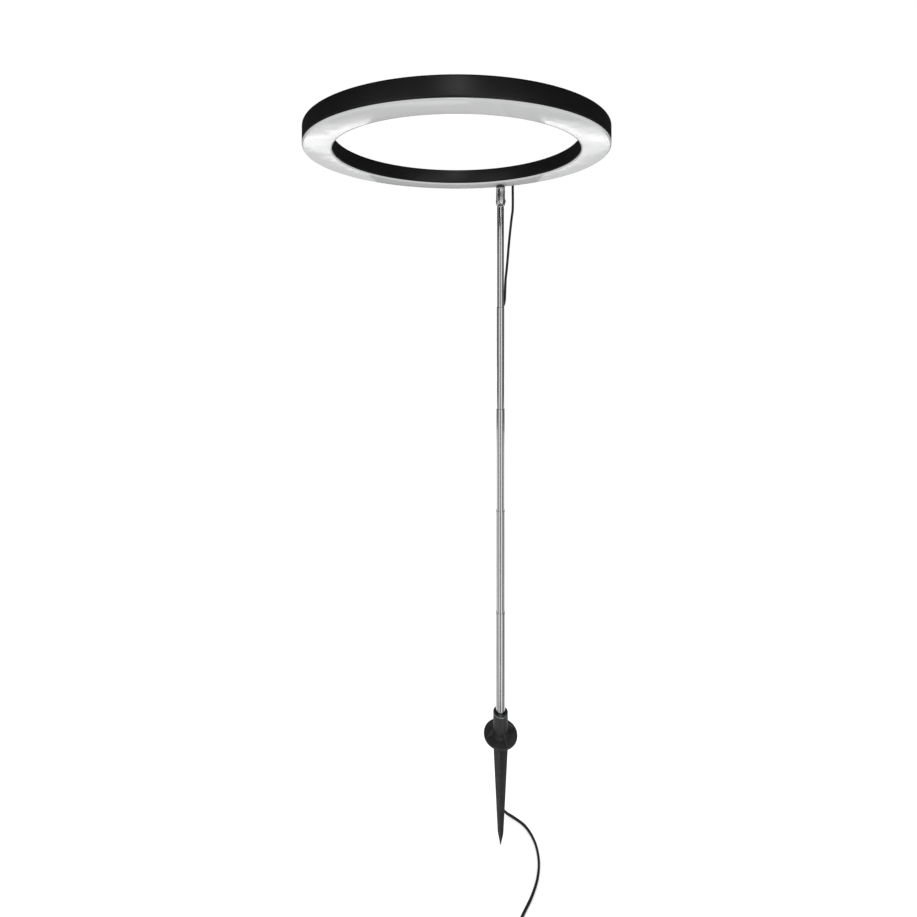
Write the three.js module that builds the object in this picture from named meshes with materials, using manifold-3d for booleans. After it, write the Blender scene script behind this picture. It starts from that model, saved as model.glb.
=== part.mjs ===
// A ring-shaped LED grow light on a five-section telescopic pole with a ground stake.
// Millimetres, +Z up. The origin is on the pole's axis at soil level, under the stake's flange.
// The ring's centre lies towards -Y of the pole, and the cord runs down the pole's +Y side.
import * as THREE from "three";
import { mergeVertices } from "three/addons/utils/BufferGeometryUtils.js";
import Module from "manifold-3d";

const wasm = await Module();
wasm.setup();

// ---------------------------------------------------------------- driving dimensions
const GAP = 0.3; // clearance between pieces that touch

// Ring head
const RING_OUTER_R = 160;
const RING_INNER_R = 131;
const RING_BOTTOM_Z = 755; // underside of the lens
const ARM = 147; // pole axis to ring centre
const LENS_EDGE = 2; // height of the lens that shows below the housing
const LENS_PLATE = 2.2;
const LENS_LEG = 1;
const HOUSING_HEIGHT = 17.6;
const HOUSING_WALL = 1.6;
const HOUSING_CHAMFER = 0.7;
const RING_SEGMENTS = 56;

// LED boards, hung from the channel's roof
const BOARD_COUNT = 4;
const BOARD_INNER_R = 137;
const BOARD_OUTER_R = 154;
const BOARD_THICKNESS = 1.5;
const BOARD_DROP = 2; // roof to the boards' upper face
const BOARD_CLEAR_DEG = 8.5; // kept free each side of the pole
const BOARD_GAP_DEG = 1;
const CHIPS_PER_BOARD = 12;
const CHIP_SIZE = 3;
const CHIP_HEIGHT = 0.8;
const BOARD_SCREW_R = 1.2;
const BOARD_POST_R = 3.2;

// Stud, collar and tilting fork
const STUD_R = 2.5;
const NECK_LENGTH = 2; // stud that shows between lens and collar
const COLLAR_HEIGHT = 2.3;
const FORK_R = 6;
const FORK_LENGTH = 24.4;
const FORK_ROOF = 1.8;
const SLOT_WIDTH = 2.4;
const TONGUE_THICKNESS = 1.8;
const TONGUE_HALF_WIDTH = 3.8;
const PIVOT_R = 1.5;
const PIVOT_SEAT_X = 3.9; // half the width across the fork's milled seats
const PIVOT_SEAT_R = 3.5;

// Telescopic pole
const SECTION_COUNT = 5;
const SECTION_SHOWN = 139; // what shows of each section when extended
const LOWEST_RIM_Z = 170;
const TOP_TUBE_R = 4.6;
const TUBE_STEP_R = 0.5;
const TUBE_WALL = 0.3;
const GUIDE_LENGTH = 18; // narrowed top of a tube that guides the next one
const GUIDE_CLEARANCE = 0.1;
const TUBE_SEGMENTS = 24;

// Ground stake
const FLANGE_R = 23;
const FLANGE_THICKNESS = 3;
const SOCKET_R = 10;
const SOCKET_TOP_Z = 31;
const SOCKET_FLOOR_Z = 12;
const SPIKE_LENGTH = 150;
const SPIKE_HALF_WIDTH = 11;
const SPIKE_BLADE = 3;

// Cord and its clips
const CORD_R = 1.7;
const CORD_SIDES = 8;
const CLIP_HEIGHT = 8;
const CLIP_WALL = 1.2;
const CLIP_PAD = 1;
const CLIP_BELOW_RIM = 16; // rim to the clip's middle
const CLIP_LINE_DEG = 23.4; // the clips' azimuth behind the pole, from +Y towards -X
const CLIP_CORD_R = 9.8; // pole axis to cord axis
const STAKE_CLIP_Z = 22;
const STAKE_CORD_R = 14;
const GLAND_AZIMUTH_DEG = 3.7;
const GLAND_Z = 767;
const GLAND_REACH = 8.3; // ring's outer wall to the hanging cord
const ELBOW_R = 6;

// In-line controller, coil and plug, on the floor that the spike's tip touches
const FLOOR_Z = -SPIKE_LENGTH;
const BOX_X = 45;
const BOX_Y = -130;
const BOX_WIDTH = 26;
const BOX_LENGTH = 60;
const BOX_HEIGHT = 13;
const BOX_WALL = 1.5;
const BOX_CORNER_R = 4;
const RELIEF_LENGTH = 10;
const BUTTON_COUNT = 3;
const BUTTON_R = 3;
const BUTTON_PITCH = 12;
const BUTTON_PROUD = 1;
const COIL_X = 28;
const COIL_Y = -200;
const COIL_MIDDLE_R = 17;
const COIL_BUNDLE_R = 4.5;
const COIL_LIFT = 0.8; // room for the tie under the coil
const PLUG_X = 11;
const PLUG_Y = -157;

// ---------------------------------------------------------------- derived heights
const WALL_BOTTOM_Z = RING_BOTTOM_Z + LENS_EDGE;
const HOUSING_TOP_Z = WALL_BOTTOM_Z + HOUSING_HEIGHT;
const ROOF_Z = HOUSING_TOP_Z - HOUSING_WALL;
const BOARD_TOP_Z = ROOF_Z - BOARD_DROP;
const BOARD_BOTTOM_Z = BOARD_TOP_Z - BOARD_THICKNESS;
const BOARD_MIDDLE_R = (BOARD_INNER_R + BOARD_OUTER_R) / 2;
const COLLAR_TOP_Z = RING_BOTTOM_Z - NECK_LENGTH;
const FORK_TOP_Z = COLLAR_TOP_Z - COLLAR_HEIGHT - GAP;
const PIVOT_Z = FORK_TOP_Z - FORK_LENGTH + FORK_R;
const SLOT_TOP_Z = FORK_TOP_Z - FORK_ROOF;
const SHOULDER_TOP_Z = PIVOT_Z - FORK_R - 0.4;
const SHOULDER_HEIGHT = 1.2;
const BLOCK_BOTTOM_Z = RING_BOTTOM_Z + 5;
const BLOCK_THICKNESS = 5;
const BOX_SPLIT_Z = FLOOR_Z + BOX_HEIGHT / 2;
const COIL_MIDDLE_Z = FLOOR_Z + COIL_LIFT + 4.2;

// ---------------------------------------------------------------- materials
const paint = (color, roughness, metalness) =>
  new THREE.MeshStandardMaterial({ color, roughness, metalness });
const housingBlack = paint(0x18191a, 0.5, 0);
const lensMilk = paint(0xd9dadb, 0.15, 0);
const boardWhite = paint(0xe6e6e2, 0.6, 0);
const chrome = paint(0xd8dadc, 0.08, 1);
const stainless = paint(0xb9bbbe, 0.22, 1);
const zincSteel = paint(0x9fa1a4, 0.35, 1);
const brass = paint(0xb08d4a, 0.35, 1);
const rubberBlack = paint(0x0e0e0f, 0.75, 0);
const cordBlack = paint(0x121213, 0.5, 0);
const plasticBlack = paint(0x1c1d1e, 0.6, 0);
const buttonGrey = paint(0x8d9093, 0.5, 0);

// ---------------------------------------------------------------- building blocks
const model = new THREE.Group();

/** Six times the volume that a triangle list encloses, negative if it is inside out. */
function signedVolume(positions, triangles) {
  const corner = (i) => new THREE.Vector3().fromArray(positions, 3 * i);
  let sum = 0;
  for (let i = 0; i < triangles.length; i += 3) {
    const [a, b, c] = [corner(triangles[i]), corner(triangles[i + 1]), corner(triangles[i + 2])];
    sum += a.dot(b.cross(c));
  }
  return sum;
}

/** A three.js geometry as a closed solid with its faces pointing out. */
function solid(geometry) {
  geometry.deleteAttribute("normal");
  geometry.deleteAttribute("uv");
  const merged = mergeVertices(geometry);
  const index = merged.index.array;
  const triangles = [];
  for (let i = 0; i < index.length; i += 3) {
    const [a, b, c] = index.slice(i, i + 3);
    if (a !== b && b !== c && c !== a) triangles.push(a, b, c);
  }
  const positions = merged.attributes.position.array;
  if (signedVolume(positions, triangles) < 0) triangles.reverse();
  const triVerts = Uint32Array.from(triangles);
  return new wasm.Manifold(new wasm.Mesh({ numProp: 3, vertProperties: positions, triVerts }));
}

const join = (first, ...others) => others.reduce((sum, other) => sum.add(other), first);
const cut = (first, ...tools) => tools.reduce((rest, tool) => rest.subtract(tool), first);

/** Adds a solid to the model as a named mesh. */
function piece(name, body, material) {
  const { vertProperties, triVerts } = body.getMesh();
  const geometry = new THREE.BufferGeometry();
  geometry.setAttribute("position", new THREE.BufferAttribute(vertProperties, 3));
  geometry.setIndex(new THREE.BufferAttribute(triVerts, 1));
  geometry.computeVertexNormals();
  const mesh = new THREE.Mesh(geometry, material);
  mesh.name = name;
  model.add(mesh);
}

/** A box between two corners. */
function box(low, high) {
  const size = high.map((value, i) => value - low[i]);
  const middle = high.map((value, i) => (value + low[i]) / 2);
  return solid(new THREE.BoxGeometry(...size).translate(...middle));
}

/** A round or hexagonal bar between two points, tapered if endRadius is given. */
function bar(start, end, radius, sides = 12, endRadius = radius) {
  const from = new THREE.Vector3(...start);
  const to = new THREE.Vector3(...end);
  const along = to.clone().sub(from);
  const geometry = new THREE.CylinderGeometry(endRadius, radius, along.length(), sides);
  const turn = new THREE.Quaternion().setFromUnitVectors(
    new THREE.Vector3(0, 1, 0),
    along.normalize(),
  );
  const middle = from.add(to).multiplyScalar(0.5);
  return solid(geometry.applyQuaternion(turn).translate(middle.x, middle.y, middle.z));
}

/** A solid of revolution about a vertical axis at x, y, from a list of [radius, z]. */
function turned(profile, segments, x = 0, y = 0) {
  const points = profile.map(([radius, z]) => new THREE.Vector2(radius, z));
  const geometry = new THREE.LatheGeometry(points, segments);
  return solid(geometry.rotateX(Math.PI / 2).translate(x, y, 0));
}

/** A closed [radius, z] outline turned into a ring. */
const turnedRing = (outline, segments, x, y) => turned([...outline, outline[0]], segments, x, y);

/** A plain sleeve. */
function sleeve(innerR, outerR, lowZ, highZ, segments = TUBE_SEGMENTS) {
  const outline = [
    [innerR, lowZ],
    [outerR, lowZ],
    [outerR, highZ],
    [innerR, highZ],
  ];
  return turnedRing(outline, segments);
}

/** A vertical extrusion of a shape in the XY plane. */
function slab(shape, lowZ, highZ, curveSegments = 3) {
  const options = { depth: highZ - lowZ, bevelEnabled: false, curveSegments };
  return solid(new THREE.ExtrudeGeometry(shape, options).translate(0, 0, lowZ));
}

/** A point at a radius from the ring's centre, its azimuth counted from +Y towards +X. */
function onRing(radius, azimuthDeg, z) {
  const angle = THREE.MathUtils.degToRad(azimuthDeg);
  return [radius * Math.sin(angle), radius * Math.cos(angle) - ARM, z];
}

/** A cord, or another round section, swept along a smooth curve through points. */
function swept(points, radius, steps, sides = CORD_SIDES) {
  const section = new THREE.Shape();
  for (let i = 0; i < sides; i += 1) {
    const angle = (2 * Math.PI * (i + 0.5)) / sides;
    const corner = [radius * Math.cos(angle), radius * Math.sin(angle)];
    if (i === 0) section.moveTo(...corner);
    else section.lineTo(...corner);
  }
  section.closePath();
  const path = new THREE.CatmullRomCurve3(points.map((point) => new THREE.Vector3(...point)));
  return solid(new THREE.ExtrudeGeometry(section, { steps, extrudePath: path }));
}

// ---------------------------------------------------------------- ring head
/** The azimuths at which a board starts and ends. */
function boardSpan(number) {
  const turn = 360 - 2 * BOARD_CLEAR_DEG - (BOARD_COUNT - 1) * BOARD_GAP_DEG;
  const span = turn / BOARD_COUNT;
  const start = BOARD_CLEAR_DEG + (number - 1) * (span + BOARD_GAP_DEG);
  return { start, span };
}

/** Where a board's fixing screw stands. */
function boardScrewAt(number, z) {
  const { start, span } = boardSpan(number);
  return onRing(BOARD_MIDDLE_R, start + span / 2, z);
}

const BLOCK_SCREW_XS = [-8, 8];

/** A channel, open below, with posts for the boards, a cord hole and two screw holes. */
function ringHousing() {
  const outline = [
    [RING_OUTER_R, WALL_BOTTOM_Z],
    [RING_OUTER_R, HOUSING_TOP_Z - HOUSING_CHAMFER],
    [RING_OUTER_R - HOUSING_CHAMFER, HOUSING_TOP_Z],
    [RING_INNER_R + HOUSING_CHAMFER, HOUSING_TOP_Z],
    [RING_INNER_R, HOUSING_TOP_Z - HOUSING_CHAMFER],
    [RING_INNER_R, WALL_BOTTOM_Z],
    [RING_INNER_R + HOUSING_WALL, WALL_BOTTOM_Z],
    [RING_INNER_R + HOUSING_WALL, ROOF_Z],
    [RING_OUTER_R - HOUSING_WALL, ROOF_Z],
    [RING_OUTER_R - HOUSING_WALL, WALL_BOTTOM_Z],
  ];
  let body = turnedRing(outline, RING_SEGMENTS, 0, -ARM);
  for (let number = 1; number <= BOARD_COUNT; number += 1) {
    const foot = boardScrewAt(number, BOARD_TOP_Z + GAP);
    body = join(body, bar(foot, boardScrewAt(number, ROOF_Z + 0.1), BOARD_POST_R, 12));
    body = cut(body, bar(boardScrewAt(number, BOARD_TOP_Z), boardScrewAt(number, ROOF_Z + 0.3), 1.5, 10));
  }
  for (const x of BLOCK_SCREW_XS) {
    body = cut(body, bar([x, 0, ROOF_Z - 1], [x, 0, HOUSING_TOP_Z + 1], 1.6, 12));
  }
  const inside = onRing(RING_OUTER_R - 4, GLAND_AZIMUTH_DEG, GLAND_Z);
  return cut(body, bar(inside, onRing(RING_OUTER_R + 4, GLAND_AZIMUTH_DEG, GLAND_Z), 2.9, 12));
}

/** The lens: a plate with rounded edges below the walls and two legs between them. */
function diffuserLens() {
  const flangeTop = WALL_BOTTOM_Z - GAP;
  const plateTop = RING_BOTTOM_Z + LENS_PLATE;
  const legTop = RING_BOTTOM_Z + 6.5;
  const outerLegR = RING_OUTER_R - HOUSING_WALL - GAP;
  const innerLegR = RING_INNER_R + HOUSING_WALL + GAP;
  const outline = [
    [RING_OUTER_R, flangeTop],
    [RING_OUTER_R, RING_BOTTOM_Z + 0.9],
    [RING_OUTER_R - 0.6, RING_BOTTOM_Z + 0.25],
    [RING_OUTER_R - 3, RING_BOTTOM_Z],
    [RING_INNER_R + 3, RING_BOTTOM_Z],
    [RING_INNER_R + 0.6, RING_BOTTOM_Z + 0.25],
    [RING_INNER_R, RING_BOTTOM_Z + 0.9],
    [RING_INNER_R, flangeTop],
    [innerLegR, flangeTop],
    [innerLegR, legTop],
    [innerLegR + LENS_LEG, legTop],
    [innerLegR + LENS_LEG, plateTop],
    [outerLegR - LENS_LEG, plateTop],
    [outerLegR - LENS_LEG, legTop],
    [outerLegR, legTop],
    [outerLegR, flangeTop],
  ];
  const plate = turnedRing(outline, RING_SEGMENTS, 0, -ARM);
  return cut(plate, bar([0, 0, RING_BOTTOM_Z - 1], [0, 0, plateTop + 1], STUD_R + 0.4));
}

/** One arc of circuit board with its row of LED chips underneath. */
function ledBoard(number) {
  const { start, span } = boardSpan(number);
  const from = THREE.MathUtils.degToRad(90 - start - span);
  const to = THREE.MathUtils.degToRad(90 - start);
  const shape = new THREE.Shape();
  shape.absarc(0, -ARM, BOARD_OUTER_R, from, to, false);
  shape.absarc(0, -ARM, BOARD_INNER_R, to, from, true);
  let board = slab(shape, BOARD_BOTTOM_Z, BOARD_TOP_Z, 12);
  for (let chip = 0; chip < CHIPS_PER_BOARD; chip += 1) {
    const azimuth = start + (span * (chip + 0.5)) / CHIPS_PER_BOARD;
    const [x, y] = onRing(BOARD_MIDDLE_R, azimuth, 0);
    const body = new THREE.BoxGeometry(CHIP_SIZE, CHIP_SIZE, CHIP_HEIGHT + 0.1);
    body.rotateZ(-THREE.MathUtils.degToRad(azimuth));
    body.translate(x, y, BOARD_BOTTOM_Z - CHIP_HEIGHT / 2 + 0.05);
    board = join(board, solid(body));
  }
  const hole = bar(boardScrewAt(number, BOARD_BOTTOM_Z - 1), boardScrewAt(number, BOARD_TOP_Z + 1), 1.6, 10);
  return cut(board, hole);
}

/** A pan-head screw that stands upright with its head below. */
function boardScrew(number) {
  const underBoard = BOARD_BOTTOM_Z - GAP;
  const at = (z) => boardScrewAt(number, z);
  return join(
    bar(at(underBoard - 1.3), at(underBoard), 1.9, 12, 2.3),
    bar(at(underBoard - 0.1), at(ROOF_Z - 0.1), BOARD_SCREW_R, 10),
  );
}

/** The lead from the gland to the first board. */
function supplyLead() {
  const route = [
    onRing(156, GLAND_AZIMUTH_DEG, GLAND_Z),
    onRing(154.4, 4.6, GLAND_Z),
    onRing(152.4, 6.4, GLAND_Z),
    onRing(151.2, 9, GLAND_Z + 0.2),
    onRing(151, 11.5, GLAND_Z + 0.4),
  ];
  return swept(route, 1, 8, 6);
}

/** The plate inside the channel that takes the stud, with two pillars up to the roof. */
function mountBlock() {
  const plateTop = BLOCK_BOTTOM_Z + BLOCK_THICKNESS;
  let block = box([-11, -10, BLOCK_BOTTOM_Z], [11, 8, plateTop]);
  for (const x of BLOCK_SCREW_XS) {
    block = join(block, bar([x, 0, plateTop - 0.5], [x, 0, ROOF_Z - GAP], 2.8));
    block = cut(block, bar([x, 0, BLOCK_BOTTOM_Z + 2], [x, 0, ROOF_Z], 1.5, 10));
  }
  return cut(block, bar([0, 0, BLOCK_BOTTOM_Z - 1], [0, 0, plateTop + 1], STUD_R + GAP));
}

/** A pan-head screw from the housing's top into a pillar of the block. */
function blockScrew(x) {
  const seat = HOUSING_TOP_Z + GAP;
  return join(
    bar([x, 0, seat], [x, 0, seat + 1.5], 2.6, 12, 2),
    bar([x, 0, BLOCK_BOTTOM_Z + 3], [x, 0, seat + 0.1], 1.2, 10),
  );
}

const stud = () => bar([0, 0, SLOT_TOP_Z + 0.2], [0, 0, ROOF_Z - 1], STUD_R);

function studNut() {
  const seat = BLOCK_BOTTOM_Z + BLOCK_THICKNESS + GAP;
  const hexagon = bar([0, 0, seat], [0, 0, seat + 4], 4.3, 6);
  return cut(hexagon, bar([0, 0, seat - 1], [0, 0, seat + 5], STUD_R + GAP));
}

function collarWasher() {
  return sleeve(STUD_R + GAP, FORK_R, COLLAR_TOP_Z - COLLAR_HEIGHT, COLLAR_TOP_Z);
}

/** A barrel with a long slot from below, milled seats for the pivot and a rounded end. */
function pivotFork() {
  const low = PIVOT_Z - FORK_R;
  const barrel = turned(
    [
      [0, low - 1],
      [FORK_R, low - 1],
      [FORK_R, FORK_TOP_Z - 0.8],
      [FORK_R - 0.8, FORK_TOP_Z],
      [0, FORK_TOP_Z],
    ],
    TUBE_SEGMENTS,
  );
  const reach = FORK_R + 1;
  const roundEnd = bar([-reach, 0, PIVOT_Z], [reach, 0, PIVOT_Z], FORK_R, TUBE_SEGMENTS);
  const upper = box([-reach, -reach, PIVOT_Z], [reach, reach, FORK_TOP_Z + 1]);
  let fork = barrel.intersect(join(roundEnd, upper));
  fork = cut(
    fork,
    box([-SLOT_WIDTH / 2, -reach, low - 2], [SLOT_WIDTH / 2, reach, SLOT_TOP_Z]),
    bar([-reach, 0, PIVOT_Z], [reach, 0, PIVOT_Z], PIVOT_R + GAP),
    bar([0, 0, SLOT_TOP_Z - 1], [0, 0, FORK_TOP_Z + 1], STUD_R + GAP),
  );
  for (const side of [-1, 1]) {
    const seat = bar([side * PIVOT_SEAT_X, 0, PIVOT_Z], [side * reach, 0, PIVOT_Z], PIVOT_SEAT_R, 16);
    fork = cut(fork, seat);
  }
  return fork;
}

/** A screw along X: a round head on the -X side, and a shank through both cheeks. */
function pivotScrew() {
  const seat = -(PIVOT_SEAT_X + 0.2);
  const end = PIVOT_SEAT_X + 2.9;
  return join(
    bar([seat - 2, 0, PIVOT_Z], [seat, 0, PIVOT_Z], 2.4, 12, 2.9),
    bar([seat - 0.1, 0, PIVOT_Z], [end, 0, PIVOT_Z], PIVOT_R),
  );
}

function pivotNut() {
  const seat = PIVOT_SEAT_X + 0.2;
  const hexagon = bar([seat, 0, PIVOT_Z], [seat + 2.4, 0, PIVOT_Z], 3.1, 6);
  return cut(hexagon, bar([seat - 1, 0, PIVOT_Z], [seat + 3, 0, PIVOT_Z], PIVOT_R + 0.2));
}

/** Where the hanging cord starts, under the gland's elbow. */
const cordTop = onRing(RING_OUTER_R + GLAND_REACH, GLAND_AZIMUTH_DEG, GLAND_Z - ELBOW_R - 0.5);

/** A moulded strain relief that clamps the outer wall and turns the cord downwards. */
function cordGland() {
  const at = (radius, z = GLAND_Z) => onRing(radius, GLAND_AZIMUTH_DEG, z);
  const wallIn = RING_OUTER_R - HOUSING_WALL;
  const elbowStart = RING_OUTER_R + GLAND_REACH - ELBOW_R;
  const elbow = [at(RING_OUTER_R + GAP), at(elbowStart - 1)];
  const ELBOW_STEPS = 5;
  for (let i = 0; i <= ELBOW_STEPS; i += 1) {
    const angle = (Math.PI / 2) * (i / ELBOW_STEPS);
    elbow.push(at(elbowStart + ELBOW_R * Math.sin(angle), GLAND_Z - ELBOW_R * (1 - Math.cos(angle))));
  }
  elbow.push(at(RING_OUTER_R + GLAND_REACH, GLAND_Z - ELBOW_R - 0.3));
  return join(
    bar(at(wallIn - GAP - 1.2), at(wallIn - GAP), 4.2),
    bar(at(wallIn - GAP - 0.5), at(RING_OUTER_R + 1), 2.6),
    bar(at(RING_OUTER_R + GAP), at(RING_OUTER_R + 1.7), 4.4, 12, 3.9),
    swept(elbow, 2.7, 10, 8),
  );
}

function addHead() {
  piece("ring_housing", ringHousing(), housingBlack);
  piece("diffuser_lens", diffuserLens(), lensMilk);
  for (let number = 1; number <= BOARD_COUNT; number += 1) {
    piece(`led_board_${number}`, ledBoard(number), boardWhite);
    piece(`board_screw_${number}`, boardScrew(number), zincSteel);
  }
  piece("supply_lead", supplyLead(), cordBlack);
  piece("mount_block", mountBlock(), zincSteel);
  BLOCK_SCREW_XS.forEach((x, i) => piece(`block_screw_${i + 1}`, blockScrew(x), zincSteel));
  piece("stud", stud(), chrome);
  piece("stud_nut", studNut(), zincSteel);
  piece("collar_washer", collarWasher(), rubberBlack);
  piece("pivot_fork", pivotFork(), chrome);
  piece("pivot_screw", pivotScrew(), zincSteel);
  piece("pivot_nut", pivotNut(), zincSteel);
  piece("cord_gland", cordGland(), rubberBlack);
}

// ---------------------------------------------------------------- telescopic pole
const tubeR = (section) => TOP_TUBE_R + TUBE_STEP_R * (section - 1);
const rimZ = (section) => LOWEST_RIM_Z + SECTION_SHOWN * (SECTION_COUNT - section);
const tubeTopZ = (section) => (section === 1 ? SHOULDER_TOP_Z - SHOULDER_HEIGHT - GAP : rimZ(section));
const tubeBottomZ = (section) => rimZ(section + 1) - GUIDE_LENGTH + GAP;

/** A thin tube. All but the first are narrowed at the top to guide the section above. */
function sectionTube(section) {
  const outer = tubeR(section);
  const bore = outer - TUBE_WALL;
  const low = tubeBottomZ(section);
  const top = tubeTopZ(section);
  if (section === 1) return sleeve(bore, outer, low, top);
  const guide = outer - TUBE_STEP_R + GUIDE_CLEARANCE;
  const outline = [
    [bore, low],
    [outer, low],
    [outer, top - 0.6],
    [outer - 0.25, top],
    [guide, top],
    [guide, top - GUIDE_LENGTH],
    [bore, top - GUIDE_LENGTH],
  ];
  return turnedRing(outline, TUBE_SEGMENTS);
}

/** A brass bush at a tube's foot: its collar rubs in the next tube and stops at its guide. */
function frictionBush(section) {
  const collarR = tubeR(section) + 0.12;
  const spigotR = tubeR(section) - TUBE_WALL - 0.15;
  const boreR = spigotR - 0.8;
  const collarTop = tubeBottomZ(section) - 2 * GAP;
  const outline = [
    [boreR, collarTop - 4],
    [collarR, collarTop - 4],
    [collarR, collarTop],
    [spigotR, collarTop],
    [spigotR, collarTop + 6],
    [boreR, collarTop + 6],
  ];
  return turnedRing(outline, TUBE_SEGMENTS);
}

/** The plug in the top of the first tube, with the flat tongue that the fork turns on. */
function tongueFitting() {
  const plugR = TOP_TUBE_R - TUBE_WALL - GAP;
  const shoulderLow = SHOULDER_TOP_Z - SHOULDER_HEIGHT;
  const half = TONGUE_THICKNESS / 2;
  const plug = turned(
    [
      [0, shoulderLow - 12],
      [plugR, shoulderLow - 12],
      [plugR, shoulderLow],
      [TOP_TUBE_R - 0.1, shoulderLow],
      [TOP_TUBE_R - 0.1, SHOULDER_TOP_Z - 0.3],
      [TOP_TUBE_R - 0.4, SHOULDER_TOP_Z],
      [0, SHOULDER_TOP_Z],
    ],
    TUBE_SEGMENTS,
  );
  const strip = box(
    [-half, -TONGUE_HALF_WIDTH, SHOULDER_TOP_Z - 0.5],
    [half, TONGUE_HALF_WIDTH, PIVOT_Z],
  );
  const eye = bar([-half, 0, PIVOT_Z], [half, 0, PIVOT_Z], TONGUE_HALF_WIDTH, 16);
  const hole = bar([-2, 0, PIVOT_Z], [2, 0, PIVOT_Z], PIVOT_R + GAP);
  return cut(join(plug, strip, eye), hole);
}

/** A point beside the pole: how far to the right of the clips' line, and how far along it. */
function beside(right, behind, z) {
  const angle = THREE.MathUtils.degToRad(CLIP_LINE_DEG);
  const [across, along] = [Math.cos(angle), Math.sin(angle)];
  return [right * across - behind * along, right * along + behind * across, z];
}

/** A pad on the back of a post at the origin, with an open holder for the cord. */
function cordClip(postR, cordR, middleZ) {
  const low = middleZ - CLIP_HEIGHT / 2;
  const high = middleZ + CLIP_HEIGHT / 2;
  const holderR = CORD_R + GAP + CLIP_WALL;
  const shell = sleeve(postR + GAP, postR + GAP + CLIP_PAD, low, high);
  const pad = shell.intersect(box([-3.4, 0, low - 1], [3.4, 2 * cordR, high + 1]));
  const holder = bar([0, cordR, low], [0, cordR, high], holderR);
  const web = box([-1.5, postR + 2 * GAP, low], [1.5, cordR, high]);
  const clip = cut(
    join(pad, holder, web),
    bar([0, 0, low - 1], [0, 0, high + 1], postR + GAP, TUBE_SEGMENTS),
    bar([0, cordR, low - 1], [0, cordR, high + 1], CORD_R + GAP),
    box([-1.1, cordR, low - 1], [1.1, cordR + holderR + 1, high + 1]),
  );
  return clip.rotate([0, 0, CLIP_LINE_DEG]);
}

const clipZ = (section) => rimZ(section) - CLIP_BELOW_RIM;

function addPole() {
  piece("tongue_fitting", tongueFitting(), stainless);
  for (let section = 1; section <= SECTION_COUNT; section += 1) {
    piece(`section_tube_${section}`, sectionTube(section), stainless);
    if (section < SECTION_COUNT) piece(`friction_bush_${section}`, frictionBush(section), brass);
    if (section === 1) continue;
    const clip = cordClip(tubeR(section), CLIP_CORD_R, clipZ(section));
    piece(`cord_clip_${section}`, clip, plasticBlack);
  }
}

// ---------------------------------------------------------------- ground stake
/** One flat blade of the spike, in the XZ plane: a long taper with a short point. */
function spikeBlade() {
  const outline = new THREE.Shape();
  outline.moveTo(-SPIKE_HALF_WIDTH, FLANGE_THICKNESS / 2);
  outline.lineTo(-SPIKE_HALF_WIDTH + 1, -20);
  outline.lineTo(-4, FLOOR_Z + 16);
  outline.lineTo(-0.6, FLOOR_Z);
  outline.lineTo(0.6, FLOOR_Z);
  outline.lineTo(4, FLOOR_Z + 16);
  outline.lineTo(SPIKE_HALF_WIDTH - 1, -20);
  outline.lineTo(SPIKE_HALF_WIDTH, FLANGE_THICKNESS / 2);
  outline.closePath();
  const options = { depth: SPIKE_BLADE, bevelEnabled: false };
  const blade = new THREE.ExtrudeGeometry(outline, options);
  return blade.translate(0, 0, -SPIKE_BLADE / 2).rotateX(Math.PI / 2);
}

/** A triangular rib between the flange and the socket, at an angle about the axis. */
function socketRib(angle) {
  const outline = new THREE.Shape();
  outline.moveTo(SOCKET_R - 1.5, FLANGE_THICKNESS / 2);
  outline.lineTo(FLANGE_R - 2.5, FLANGE_THICKNESS / 2);
  outline.lineTo(FLANGE_R - 2.5, FLANGE_THICKNESS + 0.5);
  outline.lineTo(SOCKET_R - 1.5, FLANGE_THICKNESS + 11);
  outline.closePath();
  const rib = new THREE.ExtrudeGeometry(outline, { depth: 2, bevelEnabled: false });
  return solid(rib.translate(0, 0, -1).rotateX(Math.PI / 2).rotateZ(angle));
}

const bushOuterR = () => tubeR(SECTION_COUNT) + GAP + 1;

function groundStake() {
  let body = turned(
    [
      [0, 0],
      [FLANGE_R - 0.6, 0],
      [FLANGE_R, 0.6],
      [FLANGE_R, FLANGE_THICKNESS - 0.6],
      [FLANGE_R - 0.6, FLANGE_THICKNESS],
      [SOCKET_R, FLANGE_THICKNESS],
      [SOCKET_R, SOCKET_TOP_Z],
      [0, SOCKET_TOP_Z],
    ],
    32,
  );
  for (const quarter of [0, 1]) {
    body = join(body, solid(spikeBlade().rotateZ((quarter * Math.PI) / 2)));
  }
  for (const quarter of [0, 1, 2, 3]) {
    body = join(body, socketRib(Math.PI / 4 + (quarter * Math.PI) / 2));
  }
  const core = bar([0, 0, 1], [0, 0, FLOOR_Z + 30], 4.5, 12, 1.4);
  const bore = bar([0, 0, SOCKET_FLOOR_Z], [0, 0, SOCKET_TOP_Z + 1], bushOuterR() + GAP, TUBE_SEGMENTS);
  return cut(join(body, core), bore);
}

/** A plain liner in the socket with a collar on top, in which the lowest tube turns. */
function swivelBush() {
  const boreR = tubeR(SECTION_COUNT) + GAP;
  const outline = [
    [boreR, SOCKET_FLOOR_Z + GAP],
    [bushOuterR(), SOCKET_FLOOR_Z + GAP],
    [bushOuterR(), SOCKET_TOP_Z + GAP],
    [SOCKET_R, SOCKET_TOP_Z + GAP],
    [SOCKET_R, SOCKET_TOP_Z + 1.6],
    [SOCKET_R - 0.6, SOCKET_TOP_Z + 2.2],
    [boreR, SOCKET_TOP_Z + 2.2],
  ];
  return turnedRing(outline, TUBE_SEGMENTS);
}

function addStake() {
  piece("ground_stake", groundStake(), plasticBlack);
  piece("swivel_bush", swivelBush(), zincSteel);
  piece("stake_clip", cordClip(SOCKET_R, STAKE_CORD_R, STAKE_CLIP_Z), plasticBlack);
}

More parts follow.
